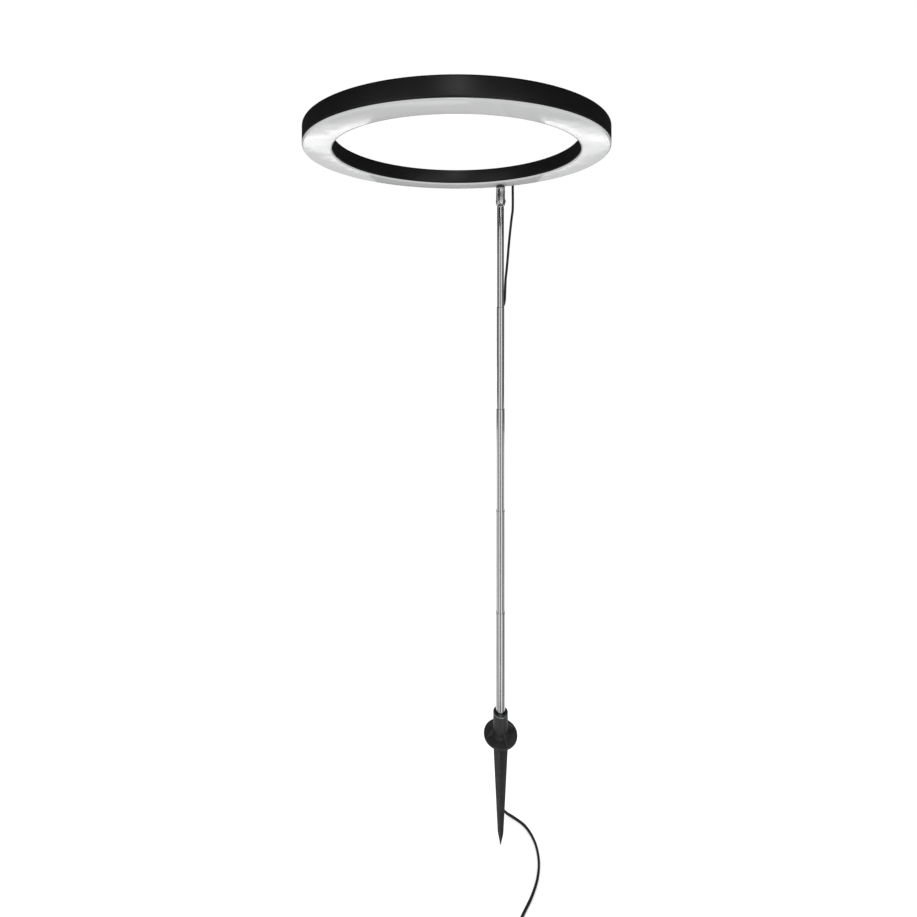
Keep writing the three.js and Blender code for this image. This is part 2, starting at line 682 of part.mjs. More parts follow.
// ---------------------------------------------------------------- in-line controller
/** A rectangle with rounded corners round the controller's middle, shrunk by inset. */
function boxOutline(inset) {
  const halfX = BOX_WIDTH / 2 - inset;
  const halfY = BOX_LENGTH / 2 - inset;
  const r = BOX_CORNER_R - inset;
  const corners = [
    [halfX - r, halfY - r],
    [r - halfX, halfY - r],
    [r - halfX, r - halfY],
    [halfX - r, r - halfY],
  ];
  const shape = new THREE.Shape();
  corners.forEach(([x, y], quarter) => {
    const start = (quarter * Math.PI) / 2;
    shape.absarc(BOX_X + x, BOX_Y + y, r, start, start + Math.PI / 2, false);
  });
  return shape;
}

/** The holes in the end walls that the strain reliefs pass through. */
function reliefHoles() {
  const y = BOX_LENGTH / 2 + 1;
  return bar([BOX_X, BOX_Y - y, BOX_SPLIT_Z], [BOX_X, BOX_Y + y, BOX_SPLIT_Z], 2.6, 12);
}

const buttonY = (number) => BOX_Y + BUTTON_PITCH * (2 - number);

function controllerBase() {
  const tray = slab(boxOutline(0), FLOOR_Z, BOX_SPLIT_Z - GAP / 2);
  const hollow = slab(boxOutline(BOX_WALL), FLOOR_Z + BOX_WALL, BOX_SPLIT_Z + 1);
  return cut(tray, hollow, reliefHoles());
}

function controllerCover() {
  const top = FLOOR_Z + BOX_HEIGHT;
  const shell = slab(boxOutline(0), BOX_SPLIT_Z + GAP / 2, top - 0.8);
  const crown = slab(boxOutline(0.8), top - 1, top);
  const hollow = slab(boxOutline(BOX_WALL), BOX_SPLIT_Z - 1, top - BOX_WALL);
  let cover = cut(join(shell, crown), hollow, reliefHoles());
  for (let number = 1; number <= BUTTON_COUNT; number += 1) {
    const y = buttonY(number);
    cover = cut(cover, bar([BOX_X, y, top - 3], [BOX_X, y, top + 1], BUTTON_R + GAP));
  }
  return cover;
}

/** The circuit board, with a switch under each button. */
function controllerBoard() {
  const low = FLOOR_Z + 5;
  const inset = BOX_WALL + GAP;
  const halfX = BOX_WIDTH / 2 - inset;
  const halfY = BOX_LENGTH / 2 - inset - 7;
  let board = box([BOX_X - halfX, BOX_Y - halfY, low], [BOX_X + halfX, BOX_Y + halfY, low + 1.2]);
  for (let number = 1; number <= BUTTON_COUNT; number += 1) {
    const y = buttonY(number);
    board = join(board, box([BOX_X - 2, y - 2, low + 1], [BOX_X + 2, y + 2, low + 3]));
  }
  return board;
}

/** A round key with a hidden flange and a stem over its switch. */
function controllerButton(number) {
  const y = buttonY(number);
  const top = FLOOR_Z + BOX_HEIGHT;
  const flangeTop = top - BOX_WALL - GAP;
  return turned(
    [
      [0, flangeTop - 2],
      [1.2, flangeTop - 2],
      [1.2, flangeTop - 1],
      [BUTTON_R + 0.9, flangeTop - 1],
      [BUTTON_R + 0.9, flangeTop],
      [BUTTON_R, flangeTop],
      [BUTTON_R, top + BUTTON_PROUD - 0.4],
      [BUTTON_R - 0.4, top + BUTTON_PROUD],
      [0, top + BUTTON_PROUD],
    ],
    12,
    BOX_X,
    y,
  );
}

/** A tapered strain relief through an end wall; side is 1 at the +Y end. */
function controllerRelief(side) {
  const at = (fromWall) => [BOX_X, BOX_Y + side * (BOX_LENGTH / 2 + fromWall), BOX_SPLIT_Z];
  return join(
    bar(at(-BOX_WALL - GAP - 1), at(-BOX_WALL - GAP), 3.6),
    bar(at(-BOX_WALL - GAP - 0.5), at(1), 2.3),
    bar(at(GAP), at(RELIEF_LENGTH), 3, 12, 1.9),
  );
}

function addController() {
  piece("controller_base", controllerBase(), plasticBlack);
  piece("controller_cover", controllerCover(), plasticBlack);
  piece("controller_board", controllerBoard(), boardWhite);
  for (let number = 1; number <= BUTTON_COUNT; number += 1) {
    piece(`controller_button_${number}`, controllerButton(number), buttonGrey);
  }
  piece("relief_in", controllerRelief(1), rubberBlack);
  piece("relief_out", controllerRelief(-1), rubberBlack);
}

// ---------------------------------------------------------------- plug
/** The moulded grip of a USB plug, narrowing towards its cord. */
function plugBody() {
  const grip = box([PLUG_X - 7.5, PLUG_Y - 5, FLOOR_Z], [PLUG_X + 7.5, PLUG_Y + 11, FLOOR_Z + 8]);
  const tail = bar([PLUG_X, PLUG_Y - 11, FLOOR_Z + 4], [PLUG_X, PLUG_Y - 4, FLOOR_Z + 4], 2.2, 12, 3.6);
  return join(grip, tail);
}

/** The plug's metal shell, open at the front, with the contact tongue left out. */
function plugShell() {
  const low = FLOOR_Z + 1.75;
  const start = PLUG_Y + 11 + GAP;
  const shell = box([PLUG_X - 6, start, low], [PLUG_X + 6, start + 14, low + 4.5]);
  const mouth = box([PLUG_X - 5.6, start + 2, low + 0.4], [PLUG_X + 5.6, start + 15, low + 4.1]);
  return cut(shell, mouth);
}

function addPlug() {
  piece("plug_body", plugBody(), plasticBlack);
  piece("plug_shell", plugShell(), stainless);
}

// ---------------------------------------------------------------- cord
const LYING_Z = FLOOR_Z + CORD_R; // axis of a cord that lies on the floor

/** From the gland down past the tilt hinge. */
const headSpan = [
  cordTop,
  beside(18.3, 14.9, 748),
  beside(18.4, 14.8, 735),
  beside(18.1, 14.5, 722),
  beside(16.9, 14.1, 713),
  beside(15.3, 13.5, 700),
];

/** From the top of section 1 slanting in beside the pole and behind it to the clip on section 2. */
const slantSpan = [
  beside(15.27, 13.49, 700 - GAP),
  beside(14, 13, 688),
  beside(12.3, 12.4, 671),
  beside(10.9, 11.8, 654.5),
  beside(9.3, 11, 638),
  beside(8, 10.4, 627),
  beside(7.4, 10, 616),
  beside(7, 9.8, 604),
  beside(6.5, CLIP_CORD_R, 596),
  beside(5.3, CLIP_CORD_R, 590.5),
  beside(2.9, CLIP_CORD_R, 585),
  beside(1, CLIP_CORD_R, 580),
  beside(0.1, CLIP_CORD_R, 575.5),
  beside(0, CLIP_CORD_R, clipZ(2) + GAP / 2),
];

/** From the clip on section 5 down to the clip on the stake. */
const lowestSpan = [
  beside(0, CLIP_CORD_R, clipZ(SECTION_COUNT) - GAP / 2),
  beside(0, CLIP_CORD_R, 140),
  beside(0, 10.4, 105),
  beside(0, 12, 68),
  beside(0, 13.5, 40),
  beside(0, STAKE_CORD_R, 27),
  beside(0, STAKE_CORD_R, STAKE_CLIP_Z + GAP / 2),
];

/** From the stake's clip, clear of the flange, down to the floor and round to the controller. */
const floorRun = [
  beside(0, STAKE_CORD_R, STAKE_CLIP_Z - GAP / 2),
  beside(0, STAKE_CORD_R, 17.5),
  beside(0, 14.7, 13.5),
  beside(0, 19.6, 8.3),
  beside(0, 28.5, 1.5),
  beside(0, 33.5, -13),
  beside(0, 35, -45),
  beside(0, 35, -85),
  beside(0, 35, -118),
  [-12, 33.5, -133],
  [-5, 35.5, -144],
  [9, 37, LYING_Z],
  [26, 33, LYING_Z],
  [42, 21, LYING_Z],
  [52.5, 3, LYING_Z],
  [56, -17, LYING_Z],
  [54, -38, LYING_Z],
  [49, -58, LYING_Z],
  [46, -74, -147.6],
  [BOX_X, -84, -144.6],
  [BOX_X, BOX_Y + BOX_LENGTH / 2 + RELIEF_LENGTH + GAP, BOX_SPLIT_Z],
];

/** From the controller to the coil's outer face. */
const coilLead = [
  [BOX_X, BOX_Y - BOX_LENGTH / 2 - RELIEF_LENGTH - GAP, BOX_SPLIT_Z],
  [BOX_X, -173, -143.8],
  [BOX_X, -178.5, -145],
  [BOX_X, -184.6, -146.4],
];

/** From the coil to the plug. */
const plugTail = [
  [PLUG_X, -184.6, -147.4],
  [PLUG_X, -178, -147],
  [PLUG_X, PLUG_Y - 11 - GAP, FLOOR_Z + 4],
];

/** The outer shape of the coil of spare cord. */
function cordCoil() {
  const half = 4.2;
  const outline = [];
  for (let i = 0; i < 8; i += 1) {
    const angle = (Math.PI / 4) * (i + 0.5);
    const scale = 1 / Math.cos(Math.PI / 8);
    outline.push([
      COIL_MIDDLE_R + COIL_BUNDLE_R * scale * Math.cos(angle),
      COIL_MIDDLE_Z + half * scale * Math.sin(angle),
    ]);
  }
  return turnedRing(outline, 24, COIL_X, COIL_Y);
}

/** A flat strap round the coil's bundle at its -Y side. */
function coilTie() {
  const middleY = COIL_Y - COIL_MIDDLE_R;
  const half = COIL_BUNDLE_R + 3 * GAP;
  const low = COIL_MIDDLE_Z - 4.2 - GAP;
  const high = COIL_MIDDLE_Z + 4.2 + GAP;
  const outer = box(
    [COIL_X - 3, middleY - half - 0.8, FLOOR_Z],
    [COIL_X + 3, middleY + half + 0.8, high + 0.8],
  );
  const inner = box([COIL_X - 4, middleY - half, low], [COIL_X + 4, middleY + half, high]);
  return cut(outer, inner);
}

function addCord() {
  piece("cord_span_1", swept(headSpan, CORD_R, 7), cordBlack);
  piece("cord_span_2", swept(slantSpan, CORD_R, 20), cordBlack);
  for (let section = 2; section < SECTION_COUNT; section += 1) {
    const top = beside(0, CLIP_CORD_R, clipZ(section) - GAP / 2);
    const foot = beside(0, CLIP_CORD_R, clipZ(section + 1) + GAP / 2);
    piece(`cord_span_${section + 1}`, swept([top, foot], CORD_R, 2), cordBlack);
  }
  piece("cord_span_6", swept(lowestSpan, CORD_R, 8), cordBlack);
  piece("cord_floor", swept(floorRun, CORD_R, 44), cordBlack);
  piece("cord_lead", swept(coilLead, CORD_R, 4), cordBlack);
  piece("cord_coil", cordCoil(), cordBlack);
  piece("coil_tie", coilTie(), rubberBlack);
  piece("cord_tail", swept(plugTail, CORD_R, 2), cordBlack);
}

addHead();
addPole();
addStake();
addController();
addPlug();
addCord();

export default model;
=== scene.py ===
"""The looks of a ring-shaped LED grow light on a telescopic pole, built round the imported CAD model.

Lengths in this file are in millimetres and turned into metres as meshes are made, except the places of
the camera, the lamps and the cords, which are in metres. +Z is up, and the origin is on the pole's axis at
soil level.
"""

import math

import bmesh
import bpy
from mathutils import Matrix, Vector


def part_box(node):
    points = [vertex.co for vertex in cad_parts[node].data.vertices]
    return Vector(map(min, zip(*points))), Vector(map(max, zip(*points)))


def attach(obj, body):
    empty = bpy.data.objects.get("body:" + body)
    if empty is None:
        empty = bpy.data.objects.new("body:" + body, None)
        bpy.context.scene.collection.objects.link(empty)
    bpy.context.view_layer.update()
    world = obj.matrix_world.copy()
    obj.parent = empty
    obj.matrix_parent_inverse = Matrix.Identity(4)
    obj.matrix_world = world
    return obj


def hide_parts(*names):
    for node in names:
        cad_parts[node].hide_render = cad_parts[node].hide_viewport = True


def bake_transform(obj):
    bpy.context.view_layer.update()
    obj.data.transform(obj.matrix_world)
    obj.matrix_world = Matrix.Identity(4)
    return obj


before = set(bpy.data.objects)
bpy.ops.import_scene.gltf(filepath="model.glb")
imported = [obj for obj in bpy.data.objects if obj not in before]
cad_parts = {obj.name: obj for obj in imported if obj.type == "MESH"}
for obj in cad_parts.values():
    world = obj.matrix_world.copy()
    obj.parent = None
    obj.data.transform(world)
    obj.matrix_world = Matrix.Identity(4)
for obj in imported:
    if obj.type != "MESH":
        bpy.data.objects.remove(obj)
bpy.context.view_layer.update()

MM = 0.001
FLOOR_Z = -150  # the spike's tip, on which the object stands here
FINE = 192  # facets round the ring
ROUND = 64  # facets round a tube
SMALL = 40  # facets round a screw


# ---- camera
CAMERA_TURN_DEG = 24.2
CAMERA_AT = (0.2095, -0.6133, 0.6157)
CAMERA_LENS = 18.461
CAMERA_SHIFT = (0.0021, -0.1878)


def add_camera():
    """A level camera with its view shifted down, as the photograph's perspective has it."""
    data = bpy.data.cameras.new("camera")
    data.lens = CAMERA_LENS
    data.sensor_width = 36
    data.shift_x, data.shift_y = CAMERA_SHIFT
    data.clip_start = 0.02
    camera = bpy.data.objects.new("camera", data)
    camera.location = CAMERA_AT
    camera.rotation_euler = (math.pi / 2, 0, math.radians(CAMERA_TURN_DEG))
    bpy.context.collection.objects.link(camera)
    bpy.context.scene.camera = camera


add_camera()


# ---- material building
class Shader:
    """A principled material with helpers for the noise that breaks up its colour, gloss and surface."""

    def __init__(self, name, color, metallic=0.0):
        self.material = bpy.data.materials.new(name)
        self.material.use_nodes = True
        self.nodes = self.material.node_tree.nodes
        self.links = self.material.node_tree.links
        self.bsdf = self.nodes["Principled BSDF"]
        self.color = color
        self.set("Base Color", (*color, 1))
        self.set("Metallic", metallic)
        self.coords = self.nodes.new("ShaderNodeTexCoord").outputs["Object"]

    def set(self, socket, value):
        self.bsdf.inputs[socket].default_value = value

    def noise(self, scale, stretch=(1, 1, 1), detail=3.0):
        """Noise in the object's own space; scale is in features per metre."""
        mapping = self.nodes.new("ShaderNodeMapping")
        mapping.inputs["Scale"].default_value = stretch
        self.links.new(self.coords, mapping.inputs["Vector"])
        texture = self.nodes.new("ShaderNodeTexNoise")
        texture.inputs["Scale"].default_value = scale
        texture.inputs["Detail"].default_value = detail
        self.links.new(mapping.outputs["Vector"], texture.inputs["Vector"])
        return texture.outputs["Fac"]

    def between(self, factor, low, high):
        """The factor's middle range mapped to low..high."""
        ranged = self.nodes.new("ShaderNodeMapRange")
        ranged.inputs["From Min"].default_value = 0.3
        ranged.inputs["From Max"].default_value = 0.7
        ranged.inputs["To Min"].default_value = low
        ranged.inputs["To Max"].default_value = high
        self.links.new(factor, ranged.inputs["Value"])
        return ranged.outputs["Result"]

    def vary_color(self, other, *texture, **detail):
        """The base colour drifts between its own and another with the noise."""
        mix = self.nodes.new("ShaderNodeMix")
        mix.data_type = "RGBA"
        mix.inputs["A"].default_value = (*self.color, 1)
        mix.inputs["B"].default_value = (*other, 1)
        self.links.new(self.between(self.noise(*texture, **detail), 0, 1), mix.inputs["Factor"])
        self.links.new(mix.outputs["Result"], self.bsdf.inputs["Base Color"])

    def vary_roughness(self, low, high, *texture, **detail):
        factor = self.noise(*texture, **detail)
        self.links.new(self.between(factor, low, high), self.bsdf.inputs["Roughness"])

    def bump(self, depth_mm, strength, *texture, **detail):
        """Relief of that depth from the noise."""
        bump = self.nodes.new("ShaderNodeBump")
        bump.inputs["Strength"].default_value = strength
        bump.inputs["Distance"].default_value = depth_mm * MM
        self.links.new(self.noise(*texture, **detail), bump.inputs["Height"])
        self.links.new(bump.outputs["Normal"], self.bsdf.inputs["Normal"])


def housing_plastic():
    """Black moulded ABS with a fine spark-eroded texture and slightly uneven gloss."""
    shader = Shader("housing_plastic", (0.0034, 0.0034, 0.0036))
    shader.vary_color((0.0045, 0.0045, 0.0047), 60)
    shader.vary_roughness(0.31, 0.4, 25, detail=5)
    shader.bump(0.02, 0.35, 2600, detail=2)
    return shader.material


def lens_acrylic():
    """Milky acrylic with a moulded gloss and faint flow lines."""
    shader = Shader("lens_acrylic", (0.46, 0.462, 0.467))
    shader.set("Specular IOR Level", 0.6)
    shader.vary_color((0.485, 0.487, 0.492), 14, detail=4)
    shader.vary_roughness(0.07, 0.12, 35, detail=4)
    shader.bump(0.8, 0.2, 36, detail=2)
    return shader.material


def polished_steel():
    """Drawn stainless tube, polished, with fine lines along its length and a few dull touches."""
    shader = Shader("polished_steel", (0.66, 0.665, 0.67), 1.0)
    shader.vary_color((0.61, 0.613, 0.615), 40, (1, 1, 0.2), 4)
    shader.vary_roughness(0.12, 0.19, 900, (1, 1, 0.015))
    shader.bump(0.001, 0.2, 900, (1, 1, 0.015))
    return shader.material


def chrome_plate():
    """Bright chrome plate with very fine handling marks."""
    shader = Shader("chrome_plate", (0.8, 0.805, 0.81), 1.0)
    shader.vary_color((0.76, 0.765, 0.77), 120)
    shader.vary_roughness(0.18, 0.26, 1300, (1, 0.08, 1), 4)
    shader.bump(0.002, 0.25, 1300, (1, 0.08, 1), 4)
    return shader.material


def zinc_plate(name="zinc_plate", color=(0.42, 0.43, 0.44), other=(0.33, 0.34, 0.35)):
    """Plated steel with a clouded, slightly grainy finish."""
    shader = Shader(name, color, 1.0)
    shader.vary_color(other, 300, detail=5)
    shader.vary_roughness(0.26, 0.42, 900)
    shader.bump(0.006, 0.4, 2200)
    return shader.material


def blackened_steel():
    """The dark pivot screw."""
    return zinc_plate("blackened_steel", (0.05, 0.05, 0.052), (0.09, 0.09, 0.092))


def turned_brass():
    """Brass with the fine rings that turning leaves."""
    shader = Shader("turned_brass", (0.56, 0.4, 0.15), 1.0)
    shader.vary_color((0.46, 0.31, 0.11), 250, detail=4)
    shader.vary_roughness(0.2, 0.36, 2600, (0.02, 0.02, 1), 2)
    shader.bump(0.01, 0.4, 2600, (0.02, 0.02, 1), 2)
    return shader.material


def soft_rubber():
    """Matt black rubber with a dusty bloom."""
    shader = Shader("soft_rubber", (0.012, 0.012, 0.0125))
    shader.vary_color((0.024, 0.024, 0.025), 220, detail=5)
    shader.vary_roughness(0.52, 0.72, 500)
    shader.bump(0.02, 0.4, 3000)
    return shader.material


def cord_vinyl():
    """Smooth black PVC sheath with the slight ripple of its twisted cores."""
    shader = Shader("cord_vinyl", (0.01, 0.01, 0.0106))
    shader.vary_color((0.014, 0.014, 0.0148), 90, detail=4)
    shader.vary_roughness(0.36, 0.5, 160, detail=4)
    shader.bump(0.05, 0.3, 420, detail=2)
    return shader.material


def textured_plastic(name="textured_plastic", color=(0.016, 0.0165, 0.0175), other=(0.026, 0.0265, 0.0275)):
    """Moulded plastic with a leathery texture that scatters its gloss."""
    shader = Shader(name, color)
    shader.vary_color(other, 90, detail=5)
    shader.vary_roughness(0.42, 0.6, 300, detail=4)
    shader.bump(0.05, 0.5, 1500, detail=3)
    return shader.material


def button_plastic():
    """The grey keys of the controller."""
    return textured_plastic("button_plastic", (0.27, 0.28, 0.29), (0.22, 0.23, 0.24))


def circuit_board():
    """White solder mask with a fine grain."""
    shader = Shader("circuit_board", (0.78, 0.78, 0.74))
    shader.vary_color((0.7, 0.71, 0.68), 400, detail=4)
    shader.vary_roughness(0.32, 0.5, 700)
    shader.bump(0.02, 0.4, 1800)
    return shader.material


def chip_phosphor():
    """The yellow face of an LED chip."""
    shader = Shader("chip_phosphor", (0.78, 0.6, 0.12))
    shader.vary_color((0.7, 0.52, 0.1), 900)
    shader.vary_roughness(0.42, 0.6, 900)
    return shader.material


HOUSING = housing_plastic()
LENS = lens_acrylic()
STEEL = polished_steel()
CHROME = chrome_plate()
ZINC = zinc_plate()
DARK_STEEL = blackened_steel()
BRASS = turned_brass()
RUBBER = soft_rubber()
VINYL = cord_vinyl()
PLASTIC = textured_plastic()
BUTTON = button_plastic()
BOARD = circuit_board()
PHOSPHOR = chip_phosphor()


# ---- mesh building
def node_box(node):
    """A CAD node's lowest and highest corners, in millimetres."""
    low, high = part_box(node)
    return low / MM, high / MM


def round_box(node):
    """A round CAD node's radius about Z, and its lowest and highest corners."""
    low, high = node_box(node)
    return (high.x - low.x) / 2, low, high


def node_axis(node):
    """The x and y of the middle of a CAD node, in millimetres."""
    low, high = node_box(node)
    return (low.x + high.x) / 2, (low.y + high.y) / 2


def shade(mesh, angle_deg=32):
    """Smooth shading, with edges sharper than the angle kept crisp."""
    bm = bmesh.new()
    bm.from_mesh(mesh)
    for face in bm.faces:
        face.smooth = True
    for edge in bm.edges:
        edge.smooth = len(edge.link_faces) == 2 and edge.calc_face_angle(0) < math.radians(angle_deg)
    bm.to_mesh(mesh)
    bm.free()


def make(name, bm):
    """A new object from a bmesh in millimetres, with its faces pointing out."""
    bmesh.ops.remove_doubles(bm, verts=bm.verts, dist=1e-5)
    bmesh.ops.recalc_face_normals(bm, faces=bm.faces)
    bmesh.ops.scale(bm, vec=(MM, MM, MM), verts=bm.verts)
    mesh = bpy.data.meshes.new(name)
    bm.to_mesh(mesh)
    bm.free()
    shade(mesh)
    obj = bpy.data.objects.new(name, mesh)
    bpy.context.collection.objects.link(obj)
    return obj


def filleted(outline, closed=True, steps=4):
    """A list of [radius, z] points from [radius, z, fillet] ones: each corner is rounded to its fillet."""
    points = []
    count = len(outline)
    for i, (r, z, *rest) in enumerate(outline):
        fillet = rest[0] if rest else 0
        here = Vector((r, z))
        if not fillet or (not closed and i in (0, count - 1)):
            points.append(here)
            continue
        before = Vector(outline[i - 1][:2]) - here
        after = Vector(outline[(i + 1) % count][:2]) - here
        reach = min(fillet, 0.49 * before.length, 0.49 * after.length)
        start = here + before.normalized() * reach
        end = here + after.normalized() * reach
        for step in range(steps + 1):
            t = step / steps
            points.append(start * (1 - t) ** 2 + here * 2 * t * (1 - t) + end * t * t)
    return points


def lathe(name, outline, segments=ROUND, at=(0, 0), closed=True, wave=None):
    """An outline of [radius, z, fillet] turned about a vertical axis. An open one starts and ends on it.

    wave, if given, is a function of angle, radius and height that returns the radius to use."""
    points = filleted(outline, closed)
    bm = bmesh.new()
    rings = []
    for radius, z in points:
        if radius < 1e-6:
            rings.append([bm.verts.new((at[0], at[1], z))] * segments)
            continue
        ring = []
        for i in range(segments):
            angle = 2 * math.pi * i / segments
            used = wave(angle, radius, z) if wave else radius
            ring.append(bm.verts.new((at[0] + used * math.cos(angle), at[1] + used * math.sin(angle), z)))
        rings.append(ring)
    pairs = list(zip(rings, rings[1:]))
    if closed:
        pairs.append((rings[-1], rings[0]))
    for low, high in pairs:
        for i in range(segments):
            j = (i + 1) % segments
            corners = []
            for vertex in (low[i], low[j], high[j], high[i]):
                if vertex not in corners:
                    corners.append(vertex)
            if len(corners) > 2:
                bm.faces.new(corners)
    return make(name, bm)


def turned_along(obj, start, direction):
    """Moves a piece that was turned about +Z at the origin to start, with its axis along a direction."""
    turn = Vector((0, 0, 1)).rotation_difference(Vector(direction)).to_matrix().to_4x4()
    obj.data.transform(Matrix.Translation(Vector(start) * MM) @ turn)
    return obj


def rod(start, end, radius, segments=SMALL, end_radius=None):
    """A straight bar to join or cut with, tapered if end_radius is given."""
    end_radius = radius if end_radius is None else end_radius
    span = Vector(end) - Vector(start)
    outline = [(0, 0), (radius, 0), (end_radius, span.length), (0, span.length)]
    bar = lathe("tool", outline, segments, closed=False)
    return turned_along(bar, start, span)


def block(low, high, name="tool"):
    """A box between two corners."""
    bm = bmesh.new()
    bmesh.ops.create_cube(bm, size=1)
    size = Vector(high) - Vector(low)
    middle = (Vector(high) + Vector(low)) / 2
    bmesh.ops.scale(bm, vec=size, verts=bm.verts)
    bmesh.ops.translate(bm, vec=middle, verts=bm.verts)
    return make(name, bm)


def loft(name, rings):
    """A closed skin over rings of points in millimetres, with as many points in each."""
    bm = bmesh.new()
    rings = [[bm.verts.new(point) for point in ring] for ring in rings]
    for low, high in zip(rings, rings[1:]):
        for i in range(len(low)):
            bm.faces.new((low[i - 1], low[i], high[i], high[i - 1]))
    bm.faces.new(rings[0])
    bm.faces.new(rings[-1])
    return make(name, bm)


def extruded(name, outline, low, high, to_xyz=lambda u, v, w: (u, v, w)):
    """A flat outline of (u, v) swept from low to high; to_xyz turns u, v, w into x, y, z."""
    return loft(name, [[to_xyz(u, v, w) for u, v in outline] for w in (low, high)])


def settle(obj):
    """Applies an object's modifiers."""
    evaluated = obj.evaluated_get(bpy.context.evaluated_depsgraph_get())
    mesh = bpy.data.meshes.new_from_object(evaluated)
    obj.modifiers.clear()
    obj.data = mesh
    return obj


def combine(base, tools, operation):
    """A boolean worked out in millimetres, where its tolerance is small beside the pieces."""
    for piece in (base, *tools):
        piece.data.transform(Matrix.Scale(1 / MM, 4))
    for tool in tools:
        modifier = base.modifiers.new("combine", "BOOLEAN")
        modifier.operation = operation
        modifier.solver = "MANIFOLD"
        modifier.object = tool
    settle(base)
    base.data.transform(Matrix.Scale(MM, 4))
    for tool in tools:
        bpy.data.objects.remove(tool)
    shade(base.data)
    return base


def cut(base, *tools):
    return combine(base, tools, "DIFFERENCE")


def fuse(base, *tools):
    return combine(base, tools, "UNION")


def overlap(base, *tools):
    return combine(base, tools, "INTERSECT")


def soften(obj, width, segments=2):
    """Rounds the sharp edges of a finished piece."""
    modifier = obj.modifiers.new("soften", "BEVEL")
    modifier.width = width * MM
    modifier.segments = segments
    modifier.limit_method = "ANGLE"
    modifier.angle_limit = math.radians(35)
    settle(obj)
    shade(obj.data, 40)
    return obj


def dress(obj, material):
    """Gives a piece one material all over."""
    obj.data.materials.clear()
    obj.data.materials.append(material)
    return obj


def place(obj, material, body, slot, *nodes):
    """Gives a finished piece its material and its body, and hides the CAD nodes that it stands for; the slot
    is not used.
    """
    dress(obj, material)
    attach(obj, body)
    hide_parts(*nodes)


# ---- cords (routes in metres)
CORD = 0.0034
CLIP_LINE_DEG = 23.4
CLIP_CORD_R = 0.0098
STAKE_CORD_R = 0.014
SOCKET_R = 10  # outside of the stake's socket, in millimetres
STAKE_CLIP_Z = 0.022
CLIP_BELOW_RIM = 0.016
LYING_Z = FLOOR_Z * MM + CORD / 2
GLAND_EXIT = (0.01086, 0.02095, 0.7606)
RELIEF_IN = (0.045, -0.0895, -0.1435)
RELIEF_OUT = (0.045, -0.1705, -0.1435)
PLUG_ENTRY = (0.011, -0.1685, -0.146)


def beside(right, behind, z):
    """A point beside the pole: how far to the right of the clips' line, how far along it, and its height."""
    angle = math.radians(CLIP_LINE_DEG)
    across, along = math.cos(angle), math.sin(angle)
    return (right * across - behind * along, right * along + behind * across, z)


def clip_z(section):
    """The height of the clip on a pole section, in metres."""
    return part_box(f"section_tube_{section}")[1].z - CLIP_BELOW_RIM


HEAD_SPAN = [
    GLAND_EXIT, beside(0.0183, 0.0149, 0.755), beside(0.0183, 0.0149, 0.748),
    beside(0.0184, 0.0148, 0.735), beside(0.0181, 0.0145, 0.722), beside(0.0169, 0.0141, 0.713),
    beside(0.0153, 0.0135, 0.700),
]
SLANT_SPAN = [
    beside(0.0153, 0.0135, 0.700), beside(0.0140, 0.0130, 0.688), beside(0.0123, 0.0124, 0.671),
    beside(0.0109, 0.0118, 0.6545), beside(0.0093, 0.0110, 0.638), beside(0.0080, 0.0104, 0.627),
    beside(0.0074, 0.0100, 0.616), beside(0.0070, 0.0098, 0.604), beside(0.0065, 0.0098, 0.596),
    beside(0.0053, 0.0098, 0.5905), beside(0.0029, 0.0098, 0.585), beside(0.0010, 0.0098, 0.580),
    beside(0.0001, 0.0098, 0.5755), beside(0, CLIP_CORD_R, clip_z(2)),
]
LOWEST_SPAN = [
    beside(0, CLIP_CORD_R, clip_z(5)), beside(0, CLIP_CORD_R, 0.140), beside(0, 0.0104, 0.105),
    beside(0, 0.0120, 0.068), beside(0, 0.0135, 0.040), beside(0, STAKE_CORD_R, 0.027),
    beside(0, STAKE_CORD_R, STAKE_CLIP_Z),
]
FLOOR_RUN = [
    beside(0, STAKE_CORD_R, STAKE_CLIP_Z), beside(0, STAKE_CORD_R, 0.0175), beside(0, 0.0147, 0.0135),
    beside(0, 0.0196, 0.0083), beside(0, 0.0285, 0.0015), beside(0, 0.0335, -0.013),
    beside(0, 0.0350, -0.045), beside(0, 0.0350, -0.085), beside(0, 0.0350, -0.118),
    (-0.012, 0.0335, -0.133), (-0.005, 0.0355, -0.144), (0.009, 0.037, LYING_Z),
    (0.026, 0.033, LYING_Z), (0.042, 0.021, LYING_Z), (0.0525, 0.003, LYING_Z),
    (0.056, -0.017, LYING_Z), (0.054, -0.038, LYING_Z), (0.049, -0.058, LYING_Z),
    (0.046, -0.074, -0.1476), (0.045, -0.084, -0.1446), RELIEF_IN,
]


def smooth_route(points, per_span):
    """The Catmull-Rom curve through a list of points, as a longer list."""
    knots = [Vector(p) for p in points]
    knots = [2 * knots[0] - knots[1], *knots, 2 * knots[-1] - knots[-2]]
    route = []
    for a, b, c, d in zip(knots, knots[1:], knots[2:], knots[3:]):
        for step in range(per_span):
            t = step / per_span
            curve = (2 * a - 5 * b + 4 * c - d) * t**2 + (3 * b - a - 3 * c + d) * t**3
            route.append((2 * b + (c - a) * t + curve) / 2)
    return [*route, knots[-2]]


def cord_tube(name, route, radius, sides=16):
    """A round tube along a route in metres, closed at both ends, without twist."""
    rings = []
    normal = (route[1] - route[0]).normalized().orthogonal()
    for i, point in enumerate(route):
        before, after = route[max(i - 1, 0)], route[min(i + 1, len(route) - 1)]
        along = (after - before).normalized()
        normal = (normal - along * normal.dot(along)).normalized()
        side = along.cross(normal)
        angles = [2 * math.pi * k / sides for k in range(sides)]
        rings.append([(point + (normal * math.cos(a) + side * math.sin(a)) * radius) / MM for a in angles])
    return loft(name, rings)


